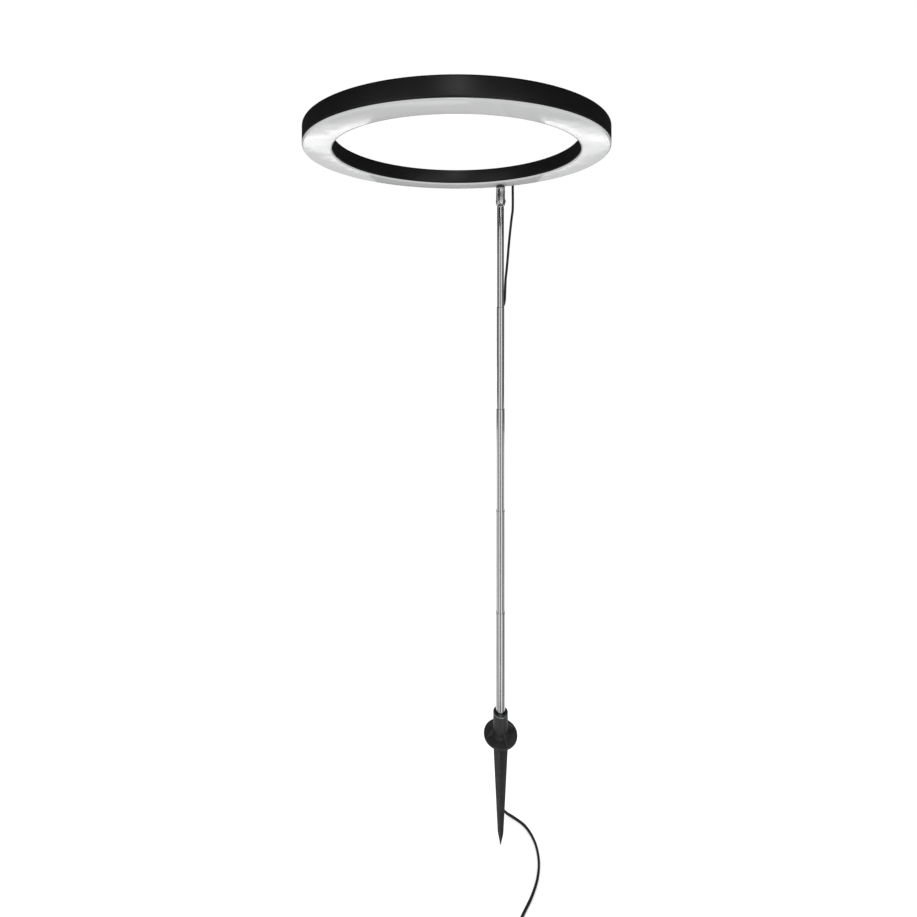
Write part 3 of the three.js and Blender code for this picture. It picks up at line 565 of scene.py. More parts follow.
def span_cord(name, points, node):
    """A stretch of cord between two holders, across the joint between their bodies."""
    straight = len(points) == 2
    route = smooth_route(points, 24 if straight else 6)
    obj = dress(cord_tube(name, route, CORD / 2), VINYL)
    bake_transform(obj)
    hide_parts(node)


def add_span_cords():
    """The cord from the gland to the stake, one stretch for each joint that it crosses."""
    span_cord("cord_1", HEAD_SPAN, "cord_span_1")
    spans = [(SLANT_SPAN, "section_1", "section_2")]
    for section in (2, 3, 4):
        ends = [beside(0, CLIP_CORD_R, clip_z(section)), beside(0, CLIP_CORD_R, clip_z(section + 1))]
        spans.append((ends, f"section_{section}", f"section_{section + 1}"))
    spans.append((LOWEST_SPAN, "section_5", "stake"))
    for number, (points, upper, lower) in enumerate(spans, 2):
        span_cord(f"cord_{number}", points, f"cord_span_{number}")


COIL_AT = Vector((0.028, -0.200, 0))
# Radius in millimetres and layer of each turn.
COIL_TURNS = [(20, 0), (16.6, 0), (13.2, 0), (14.9, 1), (18.3, 1), (16.6, 2), (20, 2)]
COIL_FOOT_Z = LYING_Z + 0.0008
COIL_LAYER = 0.0025
COIL_SHIFT_SHARE = 0.2  # share of a turn in which the cord moves over to the next


def coil_route():
    """From the controller round the coil's turns and out to the plug."""
    points = [Vector(RELIEF_OUT), Vector((0.0453, -0.177, -0.1446)), Vector((0.0472, -0.187, -0.1469))]
    steps = 24
    total = len(COIL_TURNS) - 0.5
    for i in range(int(total * steps) + 1):
        turns = i / steps
        number = min(int(turns), len(COIL_TURNS) - 1)
        radius, layer = COIL_TURNS[number]
        share = (turns - number - (1 - COIL_SHIFT_SHARE)) / COIL_SHIFT_SHARE
        if share > 0 and number + 1 < len(COIL_TURNS):
            ease = share * share * (3 - 2 * share)
            next_radius, next_layer = COIL_TURNS[number + 1]
            radius += (next_radius - radius) * ease
            layer += (next_layer - layer) * ease
        angle = -2 * math.pi * turns
        lift = COIL_FOOT_Z + layer * COIL_LAYER
        across = radius * MM
        points.append(COIL_AT + Vector((across * math.cos(angle), across * math.sin(angle), lift)))
    points += [Vector((0.0082, -0.190, -0.1441)), Vector((0.0105, -0.179, -0.1456)), Vector(PLUG_ENTRY)]
    return points


def add_floor_cord():
    """The cord from the stake's clip down to the floor and along it to the controller."""
    route = smooth_route(FLOOR_RUN, 6)
    obj = cord_tube("cord_floor_run", route, CORD / 2)
    place(obj, VINYL, "stake", "cord_black", "cord_floor")


def add_coiled_cord():
    """The spare cord, on the stake's body like the plug at its far end and the tie round it."""
    route = smooth_route(coil_route(), 2)
    obj = cord_tube("cord_coiled", route, CORD / 2, 12)
    place(obj, VINYL, "stake", "cord_black", "cord_lead", "cord_coil", "cord_tail")


# ---- ring head
RING_LOW, RING_HIGH = node_box("ring_housing")
RING_R = (RING_HIGH.x - RING_LOW.x) / 2
RING_HOLE_R = 131
RING_AT = (0, RING_LOW.y + RING_R)
WALL = 1.6
STUD_HOLE_R = 2.8


def add_housing():
    """The channel: rounded top edges, a shadow groove above each lower lip, and a ring line on top."""
    low, top = RING_LOW.z, RING_HIGH.z
    outer, inner = RING_R, RING_HOLE_R
    outline = [
        (outer - 0.1, low, 0.25), (outer, low + 0.9, 0.15), (outer - 0.25, low + 1.15),
        (outer - 0.05, low + 1.4, 0.15), (outer - 0.05, top, 1.5), (outer - 9, top),
        (outer - 9.15, top - 0.25), (outer - 9.4, top - 0.25), (outer - 9.55, top),
        (inner + 9.55, top), (inner + 9.4, top - 0.25), (inner + 9.15, top - 0.25),
        (inner + 9, top), (inner + 0.05, top, 1.2), (inner + 0.05, low + 1.4, 0.15),
        (inner + 0.25, low + 1.15), (inner, low + 0.9, 0.15), (inner + 0.1, low, 0.25),
        (inner + WALL, low, 0.2), (inner + WALL, top - WALL, 0.8),
        (outer - WALL, top - WALL, 0.8), (outer - WALL, low, 0.2),
    ]
    ring = lathe("housing_ring", outline, FINE, RING_AT)
    for screw in ("block_screw_1", "block_screw_2"):
        x, y = node_axis(screw)
        ring = cut(ring, rod((x, y, top - 4), (x, y, top + 1), 1.6))
    place(ring, HOUSING, "head", "housing_black", "ring_housing")


LENS_SAG = 0.3
LENS_STATIONS = [0.97 - 0.097 * step for step in range(21)]  # across the lens, from 1 outside to -1 inside


def add_lens():
    """The milky underside: slightly crowned, with rounded lips flush with the housing's walls."""
    low, high = node_box("diffuser_lens")
    outer, inner = RING_R - 0.1, RING_HOLE_R + 0.1
    middle, half = (outer + inner) / 2, (outer - inner) / 2
    lip = RING_LOW.z - 0.3
    crown = [(middle + half * t, low.z - LENS_SAG * (1 - t * t)) for t in LENS_STATIONS]
    outline = [
        (outer, lip, 0.1), (outer, low.z + 0.5, 0.45), *crown, (inner, low.z + 0.5, 0.45),
        (inner, lip, 0.1), (inner + WALL + 0.3, lip), (inner + WALL + 0.3, high.z, 0.2),
        (inner + WALL + 1.3, high.z, 0.2), (inner + WALL + 1.3, low.z + 2.2),
        (outer - WALL - 1.3, low.z + 2.2), (outer - WALL - 1.3, high.z, 0.2),
        (outer - WALL - 0.3, high.z, 0.2), (outer - WALL - 0.3, lip),
    ]
    lens = lathe("lens_ring", outline, FINE, RING_AT)
    lens = cut(lens, rod((0, 0, low.z - 2), (0, 0, low.z + 5), STUD_HOLE_R))
    shade(lens.data, 50)
    place(lens, LENS, "head", "lens_milk", "diffuser_lens")


def add_boards():
    """The boards keep their CAD shape; the faces below their undersides are the chips' phosphor."""
    for number in range(1, 5):
        board = dress(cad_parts[f"led_board_{number}"], BOARD)
        board.data.materials.append(PHOSPHOR)
        lowest = node_box(f"led_board_{number}")[0].z * MM
        for face in board.data.polygons:
            face.material_index = 1 if face.center.z < lowest + 0.0001 else 0
    dress(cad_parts["controller_board"], BOARD)


def add_stud():
    """The threaded stud between the lens and the fork."""
    low, high = node_box("stud")
    pitch = 0.8
    outline = [(0, low.z), (2.1, low.z)]
    turns = int((high.z - low.z - 0.8) / pitch)
    for turn in range(turns):
        z = low.z + 0.4 + turn * pitch
        outline += [(2.15, z), (2.5, z + pitch * 0.35), (2.5, z + pitch * 0.5), (2.15, z + pitch * 0.85)]
    outline += [(2.1, high.z), (0, high.z)]
    place(lathe("stud_thread", outline, SMALL, closed=False), ZINC, "head", "chrome", "stud")


def add_collar():
    """The black washer under the lens."""
    radius, low, high = round_box("collar_washer")
    outline = [
        (STUD_HOLE_R, low.z, 0.2), (radius, low.z, 0.35), (radius, high.z, 0.35),
        (STUD_HOLE_R, high.z, 0.2),
    ]
    place(lathe("collar_ring", outline), RUBBER, "head", "rubber_black", "collar_washer")


PIVOT_LOW, PIVOT_HIGH = node_box("pivot_screw")
PIVOT_Z = (PIVOT_LOW.z + PIVOT_HIGH.z) / 2
PIVOT_HOLE_R = 1.8
SHOULDER_Z = 725.6  # top of the rim that rests on the first tube
SLOT_WIDTH = 2.4
FORK_SEAT_X = 3.9


def rounded_plate(name, radius, centre_z, edge_z, half_width, upward=True, steps=48):
    """A plate across X that ends in a half circle about the pivot's height."""
    turn = 0 if upward else math.pi
    outline = []
    for step in range(steps + 1):
        angle = turn + math.pi * step / steps
        outline.append((radius * math.cos(angle), centre_z + radius * math.sin(angle)))
    outline.append((outline[-1][0], edge_z))
    outline.append((outline[0][0], edge_z))
    return extruded(name, outline, -half_width, half_width, lambda u, v, w: (w, u, v))


def add_fork():
    """The chrome fork: a bored barrel with a long slot, flat seats for the pivot and a rounded end."""
    radius, low, high = round_box("pivot_fork")
    reach = radius + 1
    outline = [
        (0, low.z - 1), (radius, low.z - 1), (radius, high.z - 2.1),
        (radius - 0.22, high.z - 1.85), (radius - 0.22, high.z - 1.55), (radius, high.z - 1.3),
        (radius, high.z, 0.7), (0, high.z),
    ]
    barrel = lathe("fork", outline, 96, closed=False)
    round_end = rounded_plate("tool", radius + 0.02, PIVOT_Z, high.z + 1, reach, upward=False)
    barrel = overlap(barrel, round_end)
    slot = block((-SLOT_WIDTH / 2, -reach, low.z - 2), (SLOT_WIDTH / 2, reach, high.z - 1.8))
    tools = [slot, rod((-reach, 0, PIVOT_Z), (reach, 0, PIVOT_Z), PIVOT_HOLE_R)]
    tools.append(rod((0, 0, high.z - 3), (0, 0, high.z + 1), STUD_HOLE_R))
    for side in (-1, 1):
        start = (side * FORK_SEAT_X, 0, PIVOT_Z)
        tools.append(rod(start, (side * reach, 0, PIVOT_Z), 3.5))
    fork = cut(barrel, *tools)
    soften(fork, 0.22, 3)
    place(fork, CHROME, "head", "chrome", "pivot_fork")


def hexagon(radius):
    angles = [math.pi / 3 * i for i in range(6)]
    return [(radius * math.cos(a), radius * math.sin(a)) for a in angles]


def add_pivot_screw():
    """A dark button-head screw with a hexagonal socket, and its shank through both cheeks."""
    length = PIVOT_HIGH.x - PIVOT_LOW.x
    head = 2.0
    outline = [
        (0, 0), (2.3, 0, 0.9), (2.95, 0.9, 0.6), (2.95, head, 0.15), (1.5, head),
        (1.5, length - 0.4), (1.1, length), (0, length),
    ]
    screw = lathe("pivot_bolt", outline, SMALL, closed=False)
    socket = extruded("tool", hexagon(1.25), -1, 1.1)
    screw = cut(screw, socket)
    turned_along(screw, (PIVOT_LOW.x, 0, PIVOT_Z), (1, 0, 0))
    place(screw, DARK_STEEL, "head", "zinc_steel", "pivot_screw")


def hex_nut(name, radius, height, bore):
    """A hexagonal nut standing on z = 0, chamfered on both faces."""
    nut = extruded(name, hexagon(radius), 0, height)
    face_r, wide_r = radius * 0.88, radius * 1.01
    step = height * 0.18
    outline = [(0, 0), (face_r, 0), (wide_r, step), (wide_r, height - step), (face_r, height), (0, height)]
    nut = overlap(nut, lathe("tool", outline, 48, closed=False))
    return cut(nut, rod((0, 0, -1), (0, 0, height + 1), bore))


def add_nuts():
    """The nut on the pivot screw and the one inside the ring on the stud."""
    low, high = node_box("pivot_nut")
    nut = hex_nut("pivot_hex_nut", 3.1, high.x - low.x, 1.7)
    turned_along(nut, (low.x, 0, PIVOT_Z), (1, 0, 0))
    place(nut, ZINC, "head", "zinc_steel", "pivot_nut")
    low, high = node_box("stud_nut")
    nut = hex_nut("stud_hex_nut", 4.3, high.z - low.z, STUD_HOLE_R)
    nut.data.transform(Matrix.Translation((0, 0, low.z * MM)))
    place(nut, ZINC, "head", "zinc_steel", "stud_nut")


def pan_screw(name, radius, head, shank_r, length):
    """A pan-head cross-recessed screw with its head's top at z = 0 and its shank along +Z."""
    outline = [
        (0, 0), (radius * 0.75, 0, radius * 0.35), (radius, head * 0.6, head * 0.3),
        (radius, head, 0.1), (shank_r, head), (shank_r, length - shank_r * 0.6), (0, length),
    ]
    screw = lathe(name, outline, 32, closed=False)
    arm = radius * 0.55
    bars = [
        block((-arm, -0.28, -1), (arm, 0.28, head * 0.6)),
        block((-0.28, -arm, -1), (0.28, arm, head * 0.6)),
    ]
    return cut(screw, *bars)


def add_head_screws():
    """The block's screws point down from the housing's top, and the boards' point up."""
    kinds = [("block", 2, 2.6, 1.5, -1), ("board", 4, 2.3, 1.3, 1)]  # count, head's radius and height, way
    for kind, count, radius, head, way in kinds:
        for number in range(1, count + 1):
            node = f"{kind}_screw_{number}"
            low, high = node_box(node)
            x, y = node_axis(node)
            screw = pan_screw(f"{kind}_pan_screw_{number}", radius, head, 1.2, high.z - low.z)
            turned_along(screw, (x, y, low.z if way > 0 else high.z), (0, 0, way))
            place(screw, ZINC, "head", "zinc_steel", node)


def add_gland():
    """The strain relief on the outer wall: a collar, then a ribbed elbow that turns down."""
    gland_z = 767
    azimuth = math.radians(3.7)
    out = Vector((math.sin(azimuth), math.cos(azimuth), 0))
    centre = Vector((*RING_AT, gland_z))

    def at(radius, z=0.0):
        return centre + out * radius + Vector((0, 0, z))

    elbow_start = RING_R + 2.3
    turn_r = 6
    route = [at(RING_R + 0.4), at(elbow_start - 0.8)]
    for step in range(9):
        angle = math.pi / 2 * step / 8
        route.append(at(elbow_start + turn_r * math.sin(angle), -turn_r * (1 - math.cos(angle))))
    route.append(at(elbow_start + turn_r, -turn_r - 0.6))
    fine = smooth_route([p * MM for p in route], 4)
    elbow = cord_tube("gland", fine, 2.55 * MM, 28)
    rings = []
    for share in (0.3, 0.45, 0.6, 0.75, 0.9):
        i = int(share * (len(fine) - 1))
        along = (fine[i + 1] - fine[i - 1]).normalized()
        ring = lathe("tool", [(1.5, -0.35, 0.15), (3.0, -0.35, 0.25), (3.0, 0.35, 0.25), (1.5, 0.35, 0.15)])
        rings.append(turned_along(ring, fine[i] / MM, along))
    outline = [(0, 0), (4.3, 0, 0.2), (4.3, 0.9, 0.5), (3.4, 1.7, 0.4), (0, 1.7)]
    collar = lathe("tool", outline, closed=False)
    rings.append(turned_along(collar, at(RING_R + 0.3), out))
    rings.append(rod(at(RING_R - 3.1), at(RING_R + 0.6), 2.5))
    rings.append(rod(at(RING_R - 3.1), at(RING_R - 1.9), 4.1))
    gland = fuse(elbow, *rings)
    place(gland, RUBBER, "head", "rubber_black", "cord_gland")


# ---- pole
def add_tubes():
    """Thin tubes; all but the first have a rolled rim that is drawn in to guide the next."""
    for section in range(1, 6):
        node = f"section_tube_{section}"
        radius, low, high = round_box(node)
        bore = radius - 0.3
        guide = radius - 0.4
        guide_end = high.z - 18
        outline = [(bore, low.z), (radius, low.z, 0.1)]
        if section == 1:
            outline += [(radius, high.z, 0.1), (bore, high.z)]
        else:
            outline += [(radius, high.z - 1.5), (radius - 0.02, high.z - 0.7, 0.3)]
            outline += [(radius - 0.2, high.z, 0.18), (guide, high.z, 0.08)]
            outline += [(guide, guide_end), (bore, guide_end)]
        place(lathe(f"tube_{section}", outline), STEEL, f"section_{section}", "stainless", node)


def add_friction_bushes():
    """A split brass bush at the foot of each sliding tube, with a groove round it."""
    for section in (1, 2, 3, 4):
        node = f"friction_bush_{section}"
        radius, low, high = round_box(node)
        spigot = radius - 0.57
        bore = spigot - 0.8
        outline = [
            (bore, low.z, 0.15), (radius, low.z, 0.3), (radius, low.z + 1.8, 0.1),
            (radius - 0.2, low.z + 2, 0.05), (radius, low.z + 2.2, 0.1),
            (radius, low.z + 4, 0.2), (spigot, low.z + 4), (spigot, high.z, 0.2),
            (bore, high.z, 0.1),
        ]
        bush = lathe(f"bush_{section}", outline)
        bush = cut(bush, block((bore - 1, -0.4, low.z - 1), (radius + 1, 0.4, high.z - 2)))
        place(bush, BRASS, f"section_{section}", "brass", node)


def add_tongue():
    """The plug in the top of the first tube, with the flat eye that the fork turns on."""
    low = node_box("tongue_fitting")[0]
    plug_r, rim_r, rim_height = 4.0, 4.55, 1.2
    eye_r, eye_half_thick = 3.8, 0.9
    outline = [
        (0, low.z), (plug_r, low.z, 0.3), (plug_r, SHOULDER_Z - rim_height),
        (rim_r, SHOULDER_Z - rim_height, 0.1), (rim_r, SHOULDER_Z, 0.35), (0, SHOULDER_Z),
    ]
    plug = lathe("tongue", outline, closed=False)
    plug = fuse(plug, rounded_plate("tool", eye_r, PIVOT_Z, SHOULDER_Z - 0.5, eye_half_thick))
    plug = cut(plug, rod((-3, 0, PIVOT_Z), (3, 0, PIVOT_Z), PIVOT_HOLE_R))
    soften(plug, 0.12)
    place(plug, CHROME, "section_1", "stainless", "tongue_fitting")


def clip_piece(name, post_r, cord_r, node, body):
    """A saddle on the back of a round post, with an open holder for the cord."""
    low, high = node_box(node)
    saddle_r = post_r + 1.3
    half_saddle, half_web, half_mouth = 3.4, 1.5, 1.1
    holder_r, cord_hole_r = 3, 1.75
    foot, top = low.z - 1, high.z + 1
    outline = [(post_r - 1, low.z), (saddle_r, low.z), (saddle_r, high.z), (post_r - 1, high.z)]
    band = lathe(name, outline)
    band = overlap(band, block((-half_saddle, 0, foot), (half_saddle, 2 * cord_r, top)))
    holder = rod((0, cord_r, low.z), (0, cord_r, high.z), holder_r)
    web = block((-half_web, post_r + 0.6, low.z), (half_web, cord_r - 1, high.z))
    clip = cut(
        fuse(band, holder, web),
        rod((0, 0, foot), (0, 0, top), post_r + 0.3, segments=ROUND),
        rod((0, cord_r, foot), (0, cord_r, top), cord_hole_r),
        block((-half_mouth, cord_r - 0.3, foot), (half_mouth, cord_r + holder_r + 1, top)),
    )
    soften(clip, 0.25)
    clip.data.transform(Matrix.Rotation(math.radians(CLIP_LINE_DEG), 4, "Z"))
    place(clip, PLASTIC, body, "plastic_black", node)


def add_clips():
    """The clips below the tubes' rims and the one on the stake's socket."""
    for section in (2, 3, 4, 5):
        post_r = round_box(f"section_tube_{section}")[0]
        name = f"cord_saddle_{section}"
        clip_piece(name, post_r, CLIP_CORD_R / MM, f"cord_clip_{section}", f"section_{section}")
    clip_piece("stake_saddle", SOCKET_R, STAKE_CORD_R / MM, "stake_clip", "stake")


# ---- ground stake
def spike_blade(turn):
    """One tapered cross blade of the spike, thinner towards its edges."""
    tip = FLOOR_Z
    rows = [(1.5, 11, 1.5), (-20, 10, 1.45), (-70, 7.4, 1.2), (tip + 16, 4, 0.9), (tip, 0.5, 0.35)]
    rings = []
    for z, half, thick in rows:
        edge = thick * 0.55
        section = [(-half, -edge), (0, -thick), (half, -edge), (half, edge), (0, thick), (-half, edge)]
        rings.append([(x, y, z) for x, y in section])
    blade = loft("tool", rings)
    blade.data.transform(Matrix.Rotation(turn, 4, "Z"))
    return blade


def socket_rib(turn):
    """A web between the flange and the socket."""
    outline = [(8.5, 1.5), (20.5, 1.5), (20.5, 3.5), (8.5, 14)]
    rib = extruded("tool", outline, -1, 1, lambda u, v, w: (u, w, v))
    rib.data.transform(Matrix.Rotation(turn, 4, "Z"))
    return rib


def add_stake():
    """The ground stake: a flange, a ribbed socket for the pole and a spike with a cross section."""
    flange_r, _, high = round_box("ground_stake")
    outline = [
        (0, 0), (flange_r - 1.5, 0, 0.4), (flange_r, 0.6, 0.5), (flange_r, 3, 0.7),
        (12, 3.1, 0.5), (10.3, 5, 2), (SOCKET_R, high.z, 0.6), (0, high.z),
    ]
    body = lathe("stake_body", outline, 96, closed=False)
    parts = [spike_blade(0), spike_blade(math.pi / 2)]
    parts += [socket_rib(math.pi / 4 + math.pi / 2 * quarter) for quarter in range(4)]
    parts.append(rod((0, 0, 1), (0, 0, FLOOR_Z + 30), 4.5, end_radius=1.4))
    body = fuse(body, *parts)
    socket_floor, socket_bore_r = 12, 8.2
    body = cut(body, rod((0, 0, socket_floor), (0, 0, high.z + 1), socket_bore_r, segments=ROUND))
    soften(body, 0.3)
    place(body, PLASTIC, "stake", "plastic_black", "ground_stake")


def knurl(count, depth, low, high):
    """A radius rule that cuts fine grooves between two heights."""

    def wave(angle, radius, z):
        if radius < 9 or not low <= z <= high:
            return radius
        return radius - depth * (0.5 + 0.5 * math.cos(count * angle))

    return wave


def add_swivel_bush():
    """The metal bush in the stake's socket, with a knurled rim."""
    radius, low, high = round_box("swivel_bush")
    bore = 6.9
    outline = [
        (bore, low.z, 0.2), (7.9, low.z, 0.3), (7.9, high.z - 1.9), (radius, high.z - 1.9, 0.2),
        (radius, high.z - 1.6), (radius, high.z - 0.7), (radius - 0.9, high.z, 0.4),
        (bore, high.z, 0.2),
    ]
    rule = knurl(60, 0.12, high.z - 1.7, high.z - 0.6)
    bush = lathe("swivel_collar", outline, 360, wave=rule)
    place(bush, ZINC, "stake", "zinc_steel", "swivel_bush")


# ---- controller and plug
BASE_LOW, BASE_HIGH = node_box("controller_base")
COVER_LOW, COVER_HIGH = node_box("controller_cover")
BOX_X = (BASE_LOW.x + BASE_HIGH.x) / 2
BOX_Y = (BASE_LOW.y + BASE_HIGH.y) / 2


def box_outline(inset, corner_r=4, steps=8):
    """A rectangle with rounded corners round the controller's middle."""
    half_x = (BASE_HIGH.x - BASE_LOW.x) / 2 - inset
    half_y = (BASE_HIGH.y - BASE_LOW.y) / 2 - inset
    r = corner_r - inset
    points = []
    for quarter, (sx, sy) in enumerate([(1, 1), (-1, 1), (-1, -1), (1, -1)]):
        for step in range(steps + 1):
            angle = math.pi / 2 * (quarter + step / steps)
            x = sx * (half_x - r) + r * math.cos(angle)
            y = sy * (half_y - r) + r * math.sin(angle)
            points.append((BOX_X + x, BOX_Y + y))
    return points


def layered(name, layers):
    """A solid through rounded-rectangle layers of (z, inset)."""
    return loft(name, [[(x, y, z) for x, y in box_outline(inset)] for z, inset in layers])


def relief_hole():
    """A bar through both ends of the controller, where the strain reliefs sit."""
    y0, y1 = BASE_LOW.y - 1, BASE_HIGH.y + 1
    middle = (BASE_HIGH.z + COVER_LOW.z) / 2
    return rod((BOX_X, y0, middle), (BOX_X, y1, middle), 2.6)


def shell(name, layers, hollow_low, hollow_high):
    """Half of the controller's case, hollowed from its open side and open at both ends for the cord."""
    hollow = layered("tool", [(hollow_low, 1.5), (hollow_high, 1.5)])
    return cut(layered(name, layers), hollow, relief_hole())


def add_controller():
    """Two shells with a shadow line between them; the cover has a dish round each key."""
    floor, split = BASE_LOW.z, BASE_HIGH.z
    layers = [(floor, 1.0), (floor + 0.3, 0.45), (floor + 1.0, 0), (split - 0.5, 0), (split, 0.35)]
    base = shell("controller_tray", layers, floor + 1.5, split + 1)
    place(base, PLASTIC, "stake", "plastic_black", "controller_base")

    low, top = COVER_LOW.z, COVER_HIGH.z
    layers = [(low, 0.35), (low + 0.5, 0), (top - 1.8, 0), (top - 0.9, 0.28), (top - 0.3, 0.9), (top, 1.9)]
    cover = shell("controller_lid", layers, low - 1, top - 1.5)
    hole_r, dish_r, mouth_r = 3.3, 3.9, 4.6
    deep, dish, above = top - 3, top - 0.35, top + 0.3
    key_hole = [(0, deep), (hole_r, deep), (hole_r, dish), (dish_r, dish), (mouth_r, above), (0, above)]
    for number in (1, 2, 3):
        x, y = node_axis(f"controller_button_{number}")
        cover = cut(cover, lathe("tool", key_hole, at=(x, y), closed=False))
    place(cover, PLASTIC, "stake", "plastic_black", "controller_cover")


def add_buttons():
    """Round keys with a shallow finger dish and a hidden flange."""
    for number in (1, 2, 3):
        node = f"controller_button_{number}"
        low, high = node_box(node)
        outline = [
            (0, low.z), (1.2, low.z, 0.2), (1.2, low.z + 1), (3.9, low.z + 1, 0.1),
            (3.9, low.z + 2, 0.1), (3.0, low.z + 2), (3.0, high.z, 0.5),
            (1.6, high.z - 0.25, 0.8), (0, high.z - 0.35),
        ]
        key = lathe(f"key_{number}", outline, 48, node_axis(node), closed=False)
        place(key, BUTTON, f"button_{number}", "button_grey", node)


def add_reliefs():
    """Tapered strain reliefs with bend grooves, one at each end of the controller."""
    for node, side in (("relief_in", 1), ("relief_out", -1)):
        low, high = node_box(node)
        length = high.y - low.y
        inner_end = low.y if side > 0 else high.y
        middle = (low.z + high.z) / 2
        outline = [(0, 0), (3.5, 0, 0.2), (3.5, 1, 0.1), (2.3, 1), (2.3, 3.1), (3.0, 3.1, 0.3)]
        grooves = 5
        for k in range(grooves):
            start = 4.4 + k * 1.5
            r = 3.0 - 0.2 * k
            outline += [(r, start), (r - 0.55, start + 0.2), (r - 0.6, start + 0.6), (r - 0.1, start + 0.8)]
        outline += [(1.9, length, 0.2), (0, length)]
        relief = lathe(f"strain_{node}", outline, SMALL, closed=False)
        turned_along(relief, (BOX_X, inner_end, middle), (0, side, 0))
        place(relief, RUBBER, "stake", "rubber_black", node)


def add_plug():
    """A moulded grip with finger ribs, and a folded metal shell with its two windows and tongue."""
    low, high = node_box("plug_body")
    x, z = (low.x + high.x) / 2, (low.z + high.z) / 2
    grip = block((low.x, low.y + 6, low.z), high, "plug_grip")
    soften(grip, 1.6, 4)
    grip = fuse(grip, rod((x, low.y + 9, z), (x, low.y, z), 3.6, end_radius=2.2))
    ribs = []
    for side in (low.x, high.x):
        for k in range(4):
            y = low.y + 10.5 + 2.2 * k
            ribs.append(rod((side, y, low.z + 1.4), (side, y, high.z - 1.4), 0.45, segments=16))
    grip = cut(grip, *ribs)
    place(grip, PLASTIC, "stake", "plastic_black", "plug_body")

    low, high = node_box("plug_shell")
    metal = block(low, high, "plug_metal")
    soften(metal, 0.35, 3)
    wall = 0.35
    mouth = block(low + Vector((wall, 1.5, wall)), high + Vector((-wall, 1, -wall)))
    tongue = block(low + Vector((0.7, 0.5, 0.6)), (high.x - 0.7, high.y - 0.6, low.z + 2.3))
    windows = []
    for side in (-1, 1):
        wx = x + side * 2.6
        windows.append(block((wx - 1.1, high.y - 7.5, z), (wx + 1.1, high.y - 5.3, high.z + 1)))
    metal = fuse(cut(metal, mouth, *windows), tongue)
    place(metal, CHROME, "stake", "stainless", "plug_shell")
    return grip, metal


def add_coil_tie():
    """A soft strap round the coil's turns."""
    low, high = node_box("coil_tie")
    strap = block(low, high, "tie_strap")
    soften(strap, 2.0, 5)
    middle = (low + high) / 2
    wall = 0.75
    hole = block(low + Vector((-1, wall, wall)), high + Vector((1, -wall, -wall)))
    strap = cut(strap, soften(hole, 1.4, 5))
    tab_low = (middle.x - 2.4, high.y - 0.6, high.z - 3)
    tab = block(tab_low, (middle.x + 2.4, high.y + 0.25, high.z - 1.2))
    strap = fuse(strap, tab)
    soften(strap, 0.15)
    place(strap, RUBBER, "stake", "rubber_black", "coil_tie")
    return strap


def add_kept_nodes():
    """CAD pieces inside the head that keep their shape and get a better finish."""
    dress(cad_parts["mount_block"], ZINC)
    dress(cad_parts["supply_lead"], VINYL)


# ---- floor and light
STUDIO_AT = (0, -147, 690)  # what the cards round the object face
CARD_DISTANCE = 3000
CARD_GAP = 30
CARD_FACET_DEG = 4
FLOOR_LIFT = 0.22  # keeps the far floor as white as the backdrop

# Cards that only reflections see: azimuth from the camera's side (+ to its right), elevation, strength.
CARDS = {
    "surround": ((-180, 180), (-60, 90), 0.035),
    "front_left": ((-60, -18), (-60, 14), 0.95),
    "front_middle": ((-19, 6), (-60, 12), 0.05),
    "front_right": ((5, 44), (-60, 14), 1.1),
    "right_side": ((44, 118), (-60, 9), 0.17),
    "left_side": ((-125, -60), (-60, 9), 0.2),
    "top_glow": ((-7, 7), (14, 36), 2.2),
    "floor_near": ((90, 270), (-90, -22), 0.9),
    "floor_far": ((150, 210), (-23.5, -17), 0.25),
    "floor_shade": ((170, 178), (-34, -14), 0.3),
    "back_left": ((-168, -150), (-19, 4), 0.62),
    "back_right": ((152, 168), (-19, 4), 0.6),
    "glint_left_1": ((-168, -156), (-14.7, -14), 2.6),
    "glint_left_2": ((-168, -156), (-16.5, -15.2), 3.5),
    "glint_left_3": ((-166, -158), (-18.2, -17.6), 2.0),
    "glint_right_1": ((156, 168), (-14.7, -14), 2.6),
    "glint_right_2": ((156, 168), (-16.5, -15.2), 3.3),
    "glint_right_3": ((158, 166), (-18.2, -17.6), 2.0),
}


def direction(azimuth_deg, elevation_deg):
    """A direction given the way a card's place is."""
    azimuth = math.radians(azimuth_deg + CAMERA_TURN_DEG)
    elevation = math.radians(elevation_deg)
    across = math.cos(elevation)
    return Vector((across * math.sin(azimuth), -across * math.cos(azimuth), math.sin(elevation)))


def emitting(name, strength):
    """A white glow that isn't used as a lamp."""
    material = bpy.data.materials.new(name)
    material.use_nodes = True
    nodes = material.node_tree.nodes
    emission = nodes.new("ShaderNodeEmission")
    emission.inputs["Strength"].default_value = strength
    material.node_tree.links.new(emission.outputs["Emission"], nodes["Material Output"].inputs["Surface"])
    material.cycles.emission_sampling = "NONE"
    return material


def add_card(name, azimuths, elevations, strength, distance):
    """A curved card round the object that lights nothing and shows only in reflections."""
    columns = math.ceil((azimuths[1] - azimuths[0]) / CARD_FACET_DEG)
    rows = math.ceil((elevations[1] - elevations[0]) / CARD_FACET_DEG)
    bm = bmesh.new()
    grid = []
    for i in range(columns + 1):
        azimuth = azimuths[0] + (azimuths[1] - azimuths[0]) * i / columns
        column = []
        for j in range(rows + 1):
            elevation = elevations[0] + (elevations[1] - elevations[0]) * j / rows
            column.append(bm.verts.new(Vector(STUDIO_AT) + direction(azimuth, elevation) * distance))
        grid.append(column)
    for left, right in zip(grid, grid[1:]):
        for j in range(rows):
            bm.faces.new((left[j], right[j], right[j + 1], left[j + 1]))
    card = dress(make(name, bm), emitting(name, strength))
    card.visible_camera = False
    card.visible_diffuse = False
    card.visible_shadow = False


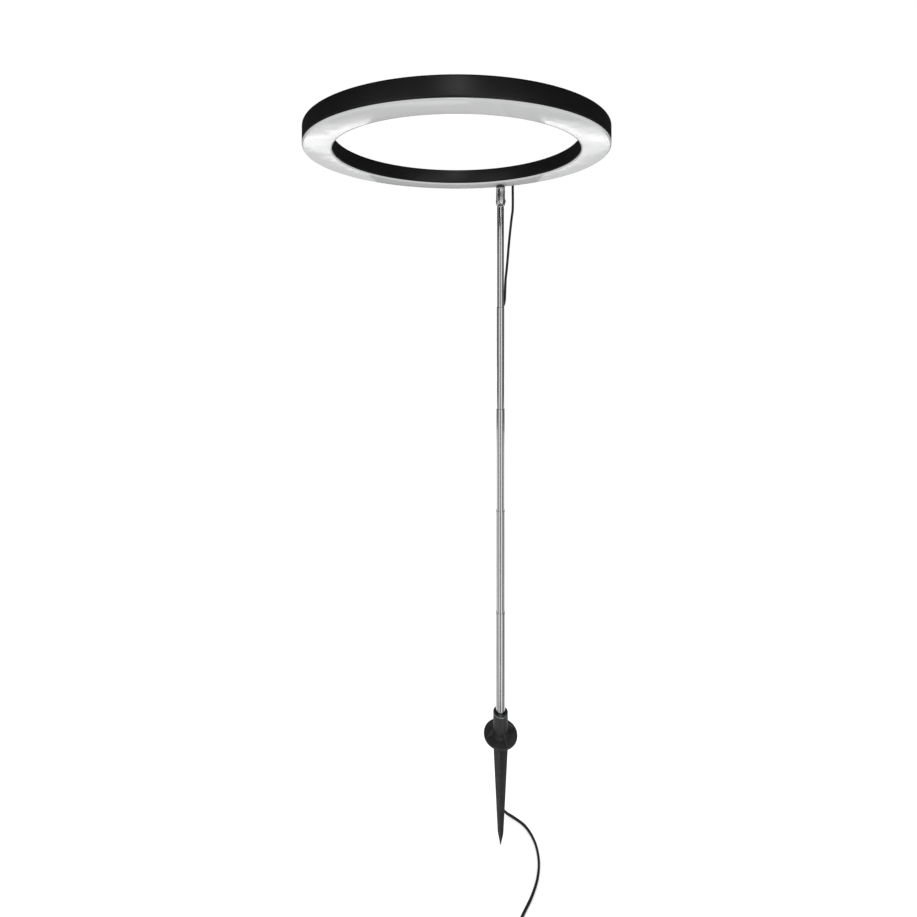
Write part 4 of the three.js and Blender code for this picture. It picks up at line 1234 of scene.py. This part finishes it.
def add_cards():
    """Later cards stand a little nearer, in front of the ones before."""
    for order, (name, (azimuths, elevations, strength)) in enumerate(CARDS.items()):
        add_card(name, azimuths, elevations, strength, CARD_DISTANCE - CARD_GAP * order)


def add_floor():
    """A wide pale floor under the spike's tip."""
    bm = bmesh.new()
    bmesh.ops.create_circle(bm, cap_ends=True, segments=96, radius=6000)
    bmesh.ops.translate(bm, vec=(0, 0, FLOOR_Z), verts=bm.verts)
    floor = make("floor", bm)
    shader = Shader("floor_paper", (0.93, 0.93, 0.93))
    shader.set("Roughness", 0.7)
    shader.vary_color((0.92, 0.92, 0.92), 3)
    shader.set("Emission Color", (1, 1, 1, 1))
    shader.set("Emission Strength", FLOOR_LIFT)
    dress(floor, shader.material)
    floor.visible_glossy = False


def add_lamp(name, at, aim, size, power):
    """A soft lamp that leaves no reflection of its own."""
    data = bpy.data.lights.new(name, "AREA")
    data.shape = "RECTANGLE"
    data.size, data.size_y = size
    data.energy = power
    lamp = bpy.data.objects.new(name, data)
    lamp.location = at
    to_aim = Vector(aim) - Vector(at)
    lamp.rotation_euler = to_aim.to_track_quat("-Z", "Y").to_euler()
    lamp.visible_glossy = False
    bpy.context.collection.objects.link(lamp)


def add_world():
    """White all round for the camera and for soft light, and unseen by reflections."""
    world = bpy.data.worlds.new("studio")
    world.use_nodes = True
    background = world.node_tree.nodes["Background"]
    background.inputs["Color"].default_value = (1, 1, 1, 1)
    background.inputs["Strength"].default_value = 1.0
    world.cycles_visibility.glossy = False
    bpy.context.scene.world = world
    bpy.context.scene.view_settings.view_transform = "Standard"


def add_lights():
    add_lamp("key_left", (-1.6, -1.6, 2.2), (0, -0.1, 0.5), (1.2, 1.2), 18)
    add_lamp("key_right", (1.9, -0.7, 2.0), (0, -0.1, 0.5), (1.2, 1.2), 10)


add_span_cords()
add_floor_cord()
add_world()
add_floor()
add_cards()
add_lights()
add_housing()
add_lens()
add_boards()
add_kept_nodes()
add_stud()
add_collar()
add_fork()
add_pivot_screw()
add_nuts()
add_head_screws()
add_gland()
add_tubes()
add_friction_bushes()
add_tongue()
add_clips()
add_stake()
add_swivel_bush()
add_controller()
add_buttons()
add_reliefs()
plug_pieces = add_plug()
tie = add_coil_tie()
add_coiled_cord()
